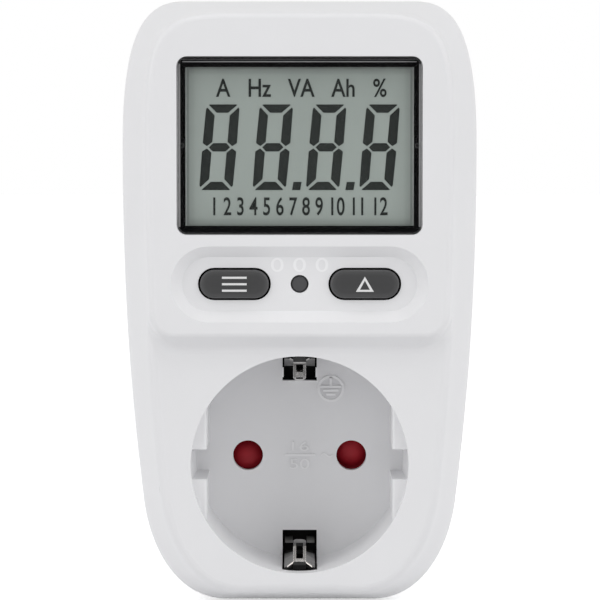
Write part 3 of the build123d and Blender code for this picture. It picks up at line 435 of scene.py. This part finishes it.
def words(name, text, place, size, y_front, depth, material, weight=0.0):
    """Raised plain characters of a (width, height) size, centred at a place (x, z)."""
    curve = bpy.data.curves.new(name, "FONT")
    curve.body = text
    curve.size = 1.0
    curve.offset = weight
    curve.extrude = 0.5
    curve.resolution_u = 6
    holder = bpy.data.objects.new(name + "_curve", curve)
    bpy.context.scene.collection.objects.link(holder)
    bpy.context.view_layer.update()
    graph = bpy.context.evaluated_depsgraph_get()
    mesh = bpy.data.meshes.new_from_object(holder.evaluated_get(graph), depsgraph=graph)
    bpy.data.objects.remove(holder, do_unlink=True)
    xs = [vertex.co.x for vertex in mesh.vertices]
    ys = [vertex.co.y for vertex in mesh.vertices]
    middle_x = (min(xs) + max(xs)) / 2
    middle_y = (min(ys) + max(ys)) / 2
    x_scale = size[0] / (max(xs) - min(xs))
    y_scale = size[1] / (max(ys) - min(ys))
    for vertex in mesh.vertices:
        across, up, out = vertex.co
        vertex.co = (
            place[0] + (across - middle_x) * x_scale,
            y_front + (0.5 - out) * depth,
            place[1] + (up - middle_y) * y_scale,
        )
    mesh.materials.clear()
    mesh.materials.append(material)
    return add_piece(name, mesh, "housing")


def ring(radius, thickness, x, z, count=72):
    """Outlines of a ring, as short wedges."""
    outlines = []
    inner = radius - thickness
    for number in range(count):
        first = 2 * math.pi * number / count
        second = 2 * math.pi * (number + 1) / count
        corners = ((inner, first), (radius, first), (radius, second), (inner, second))
        outlines.append([(x + r * math.cos(a), z + r * math.sin(a)) for r, a in corners])
    return outlines


def bar(x, z, width, height):
    """Outline of an upright rectangle."""
    return [
        (x - width / 2, z - height / 2),
        (x + width / 2, z - height / 2),
        (x + width / 2, z + height / 2),
        (x - width / 2, z + height / 2),
    ]


# Display


segment_black = plastic(
    "segment_ink", (0.026, 0.030, 0.028), 0.5, grain=0.001 * mm, specular=0.08
)
# Colours for a dark bar of painted shade and a light line of painted highlight along the cell's left
# and right edges
lcd_side_shade = plastic("lcd_painted_shade", (0.215, 0.243, 0.228), 0.35, grain=0.001 * mm)
lcd_edge_highlight = plastic("lcd_painted_highlight", (0.46, 0.5, 0.475), 0.3, grain=0.001 * mm)

glass_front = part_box("lcd_glass")[0][1]
ink_front = glass_front - 0.05 * mm
ink_depth = 0.04 * mm
slant = math.tan(math.radians(5.0))
digit_count = 4
digit_width = 6.1 * mm
digit_height = 15.25 * mm
digit_low = 49.15 * mm
digit_left = -18.0 * mm
digit_pitch = 9.51 * mm
point_size = 1.45 * mm
point_lefts = (-1.35 * mm, 8.16 * mm)
text_height = 3.3 * mm
text_weight = 0.012


def digit_outlines(left, low):
    """The seven bars of one figure, leaning to the right."""
    w, h = digit_width, digit_height
    thick = 1.48 * mm
    side = 1.7 * mm
    corner = 0.55 * mm
    cut = 0.12 * mm
    inset = 1.15 * mm
    middle = h / 2
    upper = [
        (0.08 * mm, h - corner - 0.25 * mm),
        (0.3 * mm, h - corner),
        (side, h - corner - side + 0.3 * mm),
        (side, middle + thick / 2 + 0.22 * mm),
        (0.8 * mm, middle + 0.2 * mm),
        (0, middle + 0.75 * mm),
    ]
    flat = [
        (corner, h - cut),
        (corner + cut, h),
        (w - corner - cut, h),
        (w - corner, h - cut),
        (w - corner - thick, h - thick),
        (corner + thick, h - thick),
    ]
    centre = [
        (inset, middle),
        (inset + thick / 2, middle + thick / 2),
        (w - inset - thick / 2, middle + thick / 2),
        (w - inset, middle),
        (w - inset - thick / 2, middle - thick / 2),
        (inset + thick / 2, middle - thick / 2),
    ]
    parts = [flat, [(u, h - v) for u, v in flat], centre]
    for flip_u in (False, True):
        for flip_v in (False, True):
            parts.append([(w - u if flip_u else u, h - v if flip_v else v) for u, v in upper])
    return [[(left + u + v * slant, low + v) for u, v in part] for part in parts]


display_outlines = []
for number in range(digit_count):
    display_outlines += digit_outlines(digit_left + number * digit_pitch, digit_low)
for point_left in point_lefts:
    square = ((0, 0), (point_size, 0), (point_size, point_size), (0, point_size))
    display_outlines.append([(point_left + u + v * slant * 2, digit_low + v) for u, v in square])
flat_piece("display_figures", display_outlines, ink_front, ink_depth, segment_black)
words(
    "display_units", "A   Hz   VA   Ah   %",
    (0.3 * mm, 67.35 * mm), (30.4 * mm, text_height),
    ink_front, ink_depth, segment_black, text_weight,
)
words(
    "display_numbers", "1 2 3 4 5 6 7 8 9 10 11 12",
    (0.15 * mm, 46.25 * mm), (31.1 * mm, text_height),
    ink_front, ink_depth, segment_black, text_weight,
)
side_shade_inset = 0.42 * mm
side_shade_width = 0.42 * mm
edge_highlight_inset = 0.1 * mm
edge_highlight_width = 0.2 * mm
side_mark_height = view_height - 0.1 * mm
# Painted shade as a dark bar near each side of the cell, and a painted highlight as a light line on the
# glass edge
for side, side_name in ((-1, "left"), (1, "right")):
    flat_piece(
        "display_seal_" + side_name,
        [bar(side * (view_half - side_shade_inset), view_middle, side_shade_width, side_mark_height)],
        ink_front, ink_depth, lcd_side_shade,
    )
    flat_piece(
        "display_seal_line_" + side_name,
        [bar(side * (view_half - edge_highlight_inset), view_middle, edge_highlight_width, side_mark_height)],
        ink_front, ink_depth, lcd_edge_highlight,
    )


# Rim of the window: bands and lines on the black frame behind the lens, which paint highlights and
# shade round the window, and rings for the frame's latches


rim_dark = plastic("rim_dark", (0.07, 0.07, 0.072), 0.4, grain=0.001 * mm, specular=0.2)
rim_grey = plastic("rim_grey", (0.4, 0.4, 0.405), 0.35, grain=0.001 * mm, specular=0.3)
rim_highlight = plastic("rim_highlight", (0.78, 0.78, 0.79), 0.35, grain=0.001 * mm, specular=0.3)
band_depth = 0.03 * mm
band_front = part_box("lcd_frame")[0][1] - band_depth
window_z = 57.1 * mm
# A dark grey band and a lighter line along the top of the window: painted shade and a painted highlight
flat_piece(
    "window_band_top", [bar(0, 72.36 * mm, 42.2 * mm, 0.16 * mm)],
    band_front, band_depth, rim_dark,
)
flat_piece(
    "window_line_top", [bar(0, 71.98 * mm, 41.7 * mm, 0.17 * mm)],
    band_front, band_depth, rim_grey,
)
flat_piece(
    "window_mask_low", [bar(0, 42.52 * mm, 40.7 * mm, 0.5 * mm)],
    glass_front - 0.1 * mm, 0.05 * mm, frame_black,
)
for side, side_name in ((-1, "left"), (1, "right")):
    # A light line and a grey line down each side of the window: a painted highlight and painted half
    # shade
    flat_piece(
        "window_rim_" + side_name,
        [bar(side * 21.68 * mm, window_z, 0.22 * mm, 29.4 * mm)],
        band_front, band_depth, rim_highlight,
    )
    flat_piece(
        "window_rim_inner_" + side_name,
        [bar(side * 21.38 * mm, window_z, 0.3 * mm, 29.0 * mm)],
        band_front, band_depth, rim_grey,
    )
    flat_piece(
        "window_latch_" + side_name,
        ring(0.42 * mm, 0.16 * mm, side * 20.9 * mm, window_z, count=24),
        band_front, band_depth, rim_dark,
    )


# Marks on the keys and above the small key


def border(outer, inner):
    """Outlines of the band between two closed outlines with as many points."""
    count = len(outer)
    return [
        [outer[number], outer[(number + 1) % count], inner[(number + 1) % count], inner[number]]
        for number in range(count)
    ]


def slot_outline(width, height, x, z, steps=14):
    """Closed outline of a slot with round ends."""
    radius = height / 2
    points = []
    for side in (1, -1):
        centre = x + side * (width / 2 - radius)
        for step in range(steps + 1):
            angle = math.pi * (step / steps - 0.5 * side)
            points.append((centre + radius * math.cos(angle), z + radius * math.sin(angle)))
    return points


mark_white = plastic("mark_ink", (0.74, 0.74, 0.74), 0.5, grain=0.001 * mm)
mark_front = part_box("mode_button")[0][1] - 0.02 * mm
mark_depth = 0.3 * mm
menu_pitch = 1.15 * mm
menu_length = 4.4 * mm
menu_line = 0.38 * mm
menu = [bar(-key_x, key_z + step * menu_pitch, menu_length, menu_line) for step in (-1, 0, 1)]
flat_piece("mode_mark", menu, mark_front, mark_depth, mark_white, "mode_key")

tip = 1.35 * mm
half = 1.6 * mm
thin = 0.36 * mm
low_left = (key_x - half, key_z - tip)
low_right = (key_x + half, key_z - tip)
inner_left = (key_x - half + 2 * thin, key_z - tip + thin)
inner_right = (key_x + half - 2 * thin, key_z - tip + thin)
inner_top = (key_x, key_z + tip - 2 * thin)
top = (key_x, key_z + tip)
triangle = [
    [low_left, low_right, inner_right, inner_left],
    [low_left, inner_left, inner_top, top],
    [low_right, top, inner_top, inner_right],
]
flat_piece("up_mark", triangle, mark_front, mark_depth, mark_white, "up_key")

strip_floor = -55.2 * mm
print_height = 0.03 * mm
# Painted shade: black bands in the gaps round the two keys
gap_outer = (12.96 * mm, 5.76 * mm)
gap_inner = (12.42 * mm, 5.22 * mm)
gap_painted_shade = plastic(
    "gap_shade", (0.0012, 0.0012, 0.0012), 0.9, grain=0.001 * mm, specular=0.0
)
for key_name, centre in (("mode", -key_x), ("up", key_x)):
    flat_piece(
        key_name + "_gap_shade",
        border(slot_outline(*gap_outer, centre, key_z), slot_outline(*gap_inner, centre, key_z)),
        strip_floor - print_height, 0.3 * mm, gap_painted_shade,
    )

relief_white = plastic("relief_ink", (0.88, 0.88, 0.89), 0.5, grain=0.001 * mm)
words(
    "reset_mark", "0 0 0", (0, 35.9 * mm), (10.2 * mm, 2.5 * mm),
    strip_floor - print_height, 0.05 * mm, relief_white,
)


# Relief on the socket floor, with painted light on its raised marks and painted shade inside the earth
# ring


floor_front = -36.5 * mm
relief = 0.3 * mm
relief_painted_light = plastic("relief_painted_light", (0.86, 0.86, 0.87), 0.42, vary=0.008)
relief_painted_shade = plastic("relief_painted_shade", (0.725, 0.725, 0.737), 0.5, vary=0.008)


def floor_relief(name, outlines):
    """Raised shape on the socket floor, painted lighter than the housing as painted light."""
    return flat_piece(name, outlines, floor_front - relief, relief, relief_painted_light)


def floor_number(name, text, place, size):
    """Raised number on the socket floor, painted lighter than the housing as painted light."""
    return words(name, text, place, size, floor_front - relief, relief, relief_painted_light)


earth_x = 5.74 * mm
earth_z = 12.3 * mm
earth_outlines = ring(2.46 * mm, 0.46 * mm, earth_x, earth_z)
earth_outlines.append(bar(earth_x, earth_z + 1.35 * mm, 0.45 * mm, 1.7 * mm))
for drop, width in ((0.36, 4.1), (-0.34, 2.8), (-1.06, 1.7)):
    earth_outlines.append(bar(earth_x, earth_z + drop * mm, width * mm, 0.42 * mm))
floor_relief("earth_relief", earth_outlines)
# A darker disc of painted shade inside the earth ring
flat_piece(
    "earth_painted_shade", ring(2.2 * mm, 2.19 * mm, earth_x, earth_z),
    floor_front - 0.03 * mm, 0.03 * mm, relief_painted_shade,
)
floor_number("rating_relief", "16", (0.15 * mm, 1.7 * mm), (3.1 * mm, 1.75 * mm))
floor_number("rating_relief_low", "50", (0.0, -1.55 * mm), (3.6 * mm, 1.9 * mm))

# The wave's sizes are in millimetres
wave_steps = 12
wave_left, wave_length = 4.0, 2.0
wave_middle, wave_rise = 0.05, 0.3
wave_thick = 0.15 * mm
wave_outlines = []
for number in range(wave_steps):
    ends = []
    for share in (number / wave_steps, (number + 1) / wave_steps):
        height = wave_middle + wave_rise * math.sin(2 * math.pi * share)
        ends.append(((wave_left + wave_length * share) * mm, height * mm))
    (ax, az), (bx, bz) = ends
    wave_outlines.append(
        [(ax, az - wave_thick), (bx, bz - wave_thick), (bx, bz + wave_thick), (ax, az + wave_thick)]
    )
wave_outlines.append(bar(0.1 * mm, 0.05 * mm, 5.6 * mm, 0.4 * mm))
floor_relief("rating_bar", wave_outlines)


# Earth clips: sprung straps with a slot, and arched wings beside them. Their sizes are in millimetres


clip_leg_z = 19.65
clip_leg_half = 2.8
clip_leg_stations = (-49.5, -46.0, -22.7)
clip_sheet = 0.5
clip_points = [
    (-44.8, clip_leg_z), (clip_front_y, clip_leg_z), (clip_front_y, 18.2), (-45.6, 14.5), (-37.8, 16.4)
]
clip_bends = (0.35, 0.5, 3.0)
path_step = 0.2
strap_half = 1.16
slot_half = 0.64
slot_end_y = -45.2
crown_under_z = 18.0
neck_z = 14.9
neck_rise = 0.55
neck_narrowing = 0.34
wing_inner = 1.05
wing_width = 1.7
wing_columns = 8
wing_shares = (0, 0.15, 0.3, 0.5, 0.7, 0.85, 1.0)
wing_arch = 0.2
wing_half_sheet = 0.14

# Numbers of a clip's materials, in the order of its mesh. Besides the strap's nickel, plate is bright
# nickel, edge and shade are darker copies of it in painted half shade and painted shade, wing is the
# wing's nickel in painted shade, and dark is black for painted shade over the lower clip's bend
strap, plate, wing, shade, edge, dark = range(6)


def bent_path(points, radii, steps=6):
    """Straight runs joined by arcs, as a list of (y, z)."""
    path = [points[0]]
    for (ay, az), (by, bz), (cy, cz), radius in zip(points, points[1:], points[2:], radii):
        first = Vector((ay - by, az - bz)).normalized()
        second = Vector((cy - by, cz - bz)).normalized()
        half = first.angle(second) / 2
        reach = radius / math.tan(half)
        middle = (first + second).normalized()
        centre = Vector((by, bz)) + middle * (radius / math.sin(half))
        start = Vector((by, bz)) + first * reach - centre
        turn = math.pi - 2 * half
        if first.x * second.y - first.y * second.x > 0:
            turn = -turn
        for step in range(steps + 1):
            angle = turn * step / steps
            path.append(
                (
                    centre.x + start.x * math.cos(angle) - start.y * math.sin(angle),
                    centre.y + start.x * math.sin(angle) + start.y * math.cos(angle),
                )
            )
    path.append(points[-1])
    dense = [path[0]]
    for (ay, az), (by, bz) in zip(path, path[1:]):
        count = max(1, round(math.hypot(by - ay, bz - az) / path_step))
        for n in range(1, count + 1):
            dense.append((ay + (by - ay) * n / count, az + (bz - az) * n / count))
    return dense


def sheet(form, stations, tone):
    """Bent sheet through stations of (y, z, [x, ...]); tone picks the material of its faces."""
    loops = []
    for place, (y, z, places) in enumerate(stations):
        before = stations[max(place - 1, 0)]
        after = stations[min(place + 1, len(stations) - 1)]
        along = Vector((after[0] - before[0], after[1] - before[1])).normalized()
        ny, nz = -along.y * clip_sheet / 2, along.x * clip_sheet / 2
        corners = [(x, y + ny, z + nz) for x in places]
        corners += [(x, y - ny, z - nz) for x in places[::-1]]
        loops.append([form.verts.new([c * mm for c in corner]) for corner in corners])
    count = len(loops[0])
    for place, (first, second) in enumerate(zip(loops, loops[1:])):
        y, z = stations[place][:2]
        for corner in range(count):
            after = (corner + 1) % count
            face = form.faces.new((first[corner], first[after], second[after], second[corner]))
            across = abs(first[corner].co.x + first[after].co.x) / 2 / mm
            face.material_index = tone(y, z, across)
    form.faces.new(loops[0][::-1]).material_index = tone(*stations[0][:2], 0)
    form.faces.new(loops[-1]).material_index = tone(*stations[-1][:2], 0)


def height_at(profile, x):
    """Height of a broken line of (x, z) at x."""
    for (ax, az), (bx, bz) in zip(profile, profile[1:]):
        if x <= bx:
            return az + (bz - az) * (x - ax) / (bx - ax)
    return profile[-1][1]


def strap_half_at(z):
    """Half the strap's width, which narrows towards its lowest bend."""
    near = max(0.0, 1 - (z - neck_z) / neck_rise)
    return strap_half - neck_narrowing * near * near


def add_strap(form, slot_from, slot_to, tone):
    """Strap of a clip, as two rails beside its slot and one sheet elsewhere."""
    path = bent_path(clip_points, clip_bends)
    slotted = [slot_to < z < slot_from and y < slot_end_y for y, z in path]
    start = 0
    while start < len(path) - 1:
        end = start
        while end < len(path) - 1 and slotted[end + 1] == slotted[start]:
            end += 1
        run = path[start:end + 2]
        if slotted[start]:
            for side in (-1, 1):
                places = sorted((side * slot_half, side * strap_half))
                sheet(form, [(y, z, places) for y, z in run], tone)
        else:
            stations = []
            for y, z in run:
                half_width = strap_half_at(z)
                stations.append((y, z, [-half_width, -slot_half, slot_half, half_width]))
            sheet(form, stations, tone)
        start = end + 1


def add_wing(form, side, front_profile, back_profile, lit_to, lit):
    """Arched wing beside the strap, between its front and back edges' lines of (x, z)."""
    columns = []
    for number in range(wing_columns):
        x = wing_inner + wing_width * number / (wing_columns - 1)
        front_z = height_at(front_profile, x)
        back_z = height_at(back_profile, x)
        column = []
        for share in wing_shares:
            arch = wing_arch * math.sin(math.pi * share) * (x - wing_inner) / wing_width
            z = front_z + (back_z - front_z) * share + arch
            column.append((side * x, clip_front_y + wing_length * share, z))
        columns.append(column)
    upper, lower = (
        [
            [form.verts.new((x * mm, y * mm, (z + lift) * mm)) for x, y, z in column]
            for column in columns
        ]
        for lift in (wing_half_sheet, -wing_half_sheet)
    )
    steps = len(wing_shares) - 1
    for a, b, la, lb in zip(upper, upper[1:], lower, lower[1:]):
        for step in range(steps):
            top_face = form.faces.new((a[step], b[step], b[step + 1], a[step + 1]))
            low_face = form.faces.new((la[step], la[step + 1], lb[step + 1], lb[step]))
            top_face.material_index = low_face.material_index = wing
        front = form.faces.new((a[0], la[0], lb[0], b[0]))
        # Painted light on the front faces near the strap, painted shade further out
        front.material_index = lit if abs(b[0].co.x) < lit_to * mm else shade
        form.faces.new((a[-1], b[-1], lb[-1], la[-1])).material_index = wing
    for a, la in ((upper[0], lower[0]), (upper[-1], lower[-1])):
        for step in range(steps):
            rim = form.faces.new((a[step], a[step + 1], la[step + 1], la[step]))
            rim.material_index = wing


def earth_clip(name, sign, slot, tones, crown, front_profile, back_profile, lit_to, lit, metal_of_wing):
    """Clip above (sign 1) or below (sign -1) the socket axis.

    slot is the slot's upper and lower end. tones lists from above the height down to which the strap's
    middle and rails have the two materials that follow it, and crown is its material below them. These
    materials are bright nickel and its darker copies, which paint light and shade along the clip.
    """
    mesh = bpy.data.meshes.new(name)
    form = bmesh.new()

    def tone(y, z, across):
        if y > slot_end_y and z < crown_under_z:
            return crown
        for limit, middle, rail in tones:
            if z > limit:
                return rail if across > slot_half else middle
        return crown

    add_strap(form, *slot, tone)
    leg = [(y, clip_leg_z, [-clip_leg_half, clip_leg_half]) for y in clip_leg_stations]
    # The leg is drawn in painted shade
    sheet(form, leg, lambda y, z, across: shade)
    for side in (-1, 1):
        add_wing(form, side, front_profile, back_profile, lit_to, lit)
    if sign < 0:
        for vertex in form.verts:
            vertex.co.z = -vertex.co.z
    bmesh.ops.recalc_face_normals(form, faces=form.faces[:])
    form.to_mesh(mesh)
    form.free()
    for material in (strap_metal, nickel, metal_of_wing, nickel_shade, nickel_half_shade, carrier_black):
        mesh.materials.append(material)
    return add_piece(name, mesh, "housing")


# The tones paint light and shade along each strap, from bright nickel through its darker copies to
# black
upper_piece = earth_clip(
    "upper_clip_sheet", 1, slot=(18.03, 16.5),
    tones=[(18.37, shade, shade), (17.95, edge, edge), (15.5, strap, strap), (15.08, shade, strap)],
    crown=strap,
    front_profile=[(1.05, 18.47), (1.95, 18.95), (2.75, 18.95)],
    back_profile=[(1.05, 17.25), (2.75, 17.15)],
    lit_to=2.0, lit=edge, metal_of_wing=upper_wing_metal,
)
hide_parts("upper_earth_clip")
lower_piece = earth_clip(
    "lower_clip_sheet", -1, slot=(17.59, 15.72),
    tones=[
        (18.6, dark, dark), (18.08, shade, shade), (17.5, strap, strap), (15.72, shade, strap),
        (15.16, shade, edge),
    ],
    crown=edge,
    front_profile=[(1.05, 17.9), (2.75, 19.12)],
    back_profile=[(1.05, 16.9), (2.75, 17.4)],
    lit_to=2.3, lit=plate, metal_of_wing=lower_wing_metal,
)
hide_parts("lower_earth_clip")

# Lip of the contact carrier in the lower clip's window, and jambs of the upper one
for side, side_name in ((-1, "left"), (1, "right")):
    flat_piece(
        "carrier_lip_" + side_name,
        [bar(side * 2.02 * mm, lip_top_z - lip_height / 2, 1.45 * mm, lip_height)],
        -30.6 * mm, 0.3 * mm, carrier_lip,
    )
    flat_piece(
        "window_jamb_" + side_name,
        [bar(side * 3.02 * mm, 16.03 * mm, 0.25 * mm, 1.75 * mm)],
        -46.0 * mm, 0.6 * mm, housing,
    )


# Return spring of the shutter: a coil of round wire in the part's place, which keeps its length


def coil(name, low, high, wire, turns, material, body):
    """Round wire wound upwards inside the box from low to high."""
    mesh = bpy.data.meshes.new(name)
    form = bmesh.new()
    foot = Vector(((low[0] + high[0]) / 2, (low[1] + high[1]) / 2, low[2] + wire / 2))
    radius = (high[0] - low[0] - wire) / 2
    rise = high[2] - low[2] - wire
    steps, corners = 24 * turns, 8
    slope = rise / (2 * math.pi * radius * turns)
    loops = []
    for step in range(steps + 1):
        angle = 2 * math.pi * turns * step / steps
        outward = Vector((math.cos(angle), math.sin(angle), 0))
        along = Vector((-math.sin(angle), math.cos(angle), slope)).normalized()
        upward = outward.cross(along)
        middle = foot + Vector((0, 0, rise * step / steps)) + outward * radius
        loop = []
        for corner in range(corners):
            turn = 2 * math.pi * corner / corners
            side = outward * math.cos(turn) + upward * math.sin(turn)
            loop.append(form.verts.new(middle + side * wire / 2))
        loops.append(loop)
    for first, second in zip(loops, loops[1:]):
        for corner in range(corners):
            after = (corner + 1) % corners
            form.faces.new((first[corner], first[after], second[after], second[corner]))
    form.faces.new(loops[0][::-1])
    form.faces.new(loops[-1])
    bmesh.ops.recalc_face_normals(form, faces=form.faces[:])
    for face in form.faces:
        face.smooth = len(face.verts) == 4
    form.to_mesh(mesh)
    form.free()
    mesh.materials.append(material)
    return add_piece(name, mesh, body)


spring_low, spring_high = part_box("shutter_spring")
spring_wire = 0.3 * mm
spring_turns = 7
spring_piece = coil(
    "return_spring_coil", spring_low, spring_high, spring_wire, spring_turns, steel, "housing"
)
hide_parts("shutter_spring")
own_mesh(spring_piece)


# Floor, light and camera


stage_material, stage_tree, stage_bsdf = shader("stage")
stage_bsdf.inputs["Base Color"].default_value = (0.85, 0.85, 0.86, 1)
stage_bsdf.inputs["Roughness"].default_value = 0.9
stage_glow = 0.6
world_light = 0.51
world_shown = 1.0


def ray_seen(tree):
    """1 for camera, glossy and transmission rays, else 0."""
    rays = tree.nodes.new("ShaderNodeLightPath").outputs
    mirrored = worked(tree, "MAXIMUM", rays["Is Glossy Ray"], rays["Is Transmission Ray"])
    return worked(tree, "MAXIMUM", rays["Is Camera Ray"], mirrored)


stage_bsdf.inputs["Emission Color"].default_value = (1, 1, 1, 1)
stage_tree.links.new(
    worked(stage_tree, "MULTIPLY", ray_seen(stage_tree), stage_glow),
    stage_bsdf.inputs["Emission Strength"],
)

floor_mesh = bpy.data.meshes.new("floor")
floor_form = bmesh.new()
floor_reach = 3.0
floor_z = cad_box[0][2] - 0.5 * mm
floor_corners = [
    (-floor_reach, -floor_reach), (floor_reach, -floor_reach),
    (floor_reach, floor_reach), (-floor_reach, floor_reach),
]
floor_form.faces.new([floor_form.verts.new((x, y, floor_z)) for x, y in floor_corners])
floor_form.to_mesh(floor_mesh)
floor_form.free()
floor_mesh.materials.append(stage_material)
floor = bpy.data.objects.new("floor", floor_mesh)
bpy.context.scene.collection.objects.link(floor)

world = bpy.data.worlds.new("studio")
bpy.context.scene.world = world
world.use_nodes = True
world_tree = world.node_tree
background = world_tree.nodes["Background"]
background.inputs["Color"].default_value = (1, 1, 1, 1)
world_strength = between(world_tree, ray_seen(world_tree), world_light, world_shown)
world_tree.links.new(world_strength, background.inputs["Strength"])

lamp_target = Vector((0, -50 * mm, 28 * mm))
lamp_distance = 1.0


def soft_lamp(name, azimuth, elevation, width, height, power):
    """Large soft lamp that faces the object. Azimuth 0 is in front of the display."""
    lamp = bpy.data.lights.new(name, "AREA")
    lamp.shape = "RECTANGLE"
    lamp.size = width
    lamp.size_y = height
    lamp.energy = power
    holder = bpy.data.objects.new(name, lamp)
    side = math.radians(azimuth)
    up = math.radians(elevation)
    direction = Vector(
        (math.sin(side) * math.cos(up), -math.cos(side) * math.cos(up), math.sin(up))
    )
    holder.location = lamp_target + direction * lamp_distance
    holder.rotation_euler = direction.to_track_quat("Z", "Y").to_euler()
    bpy.context.scene.collection.objects.link(holder)


soft_lamp("left_light", -60, 20, 0.6, 0.9, 3.1)
soft_lamp("right_light", 60, 20, 0.6, 0.9, 3.1)
soft_lamp("top_light", 0, 72, 0.7, 0.5, 1.6)

photo_pixels = 600
focal_pixels = 3369.0
sensor_width = 36.0
camera_pitch = math.radians(3.16)
camera_data = bpy.data.cameras.new("camera")
camera_data.sensor_fit = "HORIZONTAL"
camera_data.sensor_width = sensor_width
camera_data.lens = focal_pixels / photo_pixels * sensor_width
camera_data.clip_start = 0.01
camera = bpy.data.objects.new("camera", camera_data)
camera.location = (0.07 * mm, -654 * mm, 62.7 * mm)
camera.rotation_euler = (math.radians(90) - camera_pitch, 0, 0)
bpy.context.scene.collection.objects.link(camera)
bpy.context.scene.camera = camera
bpy.context.scene.view_settings.view_transform = "Standard"
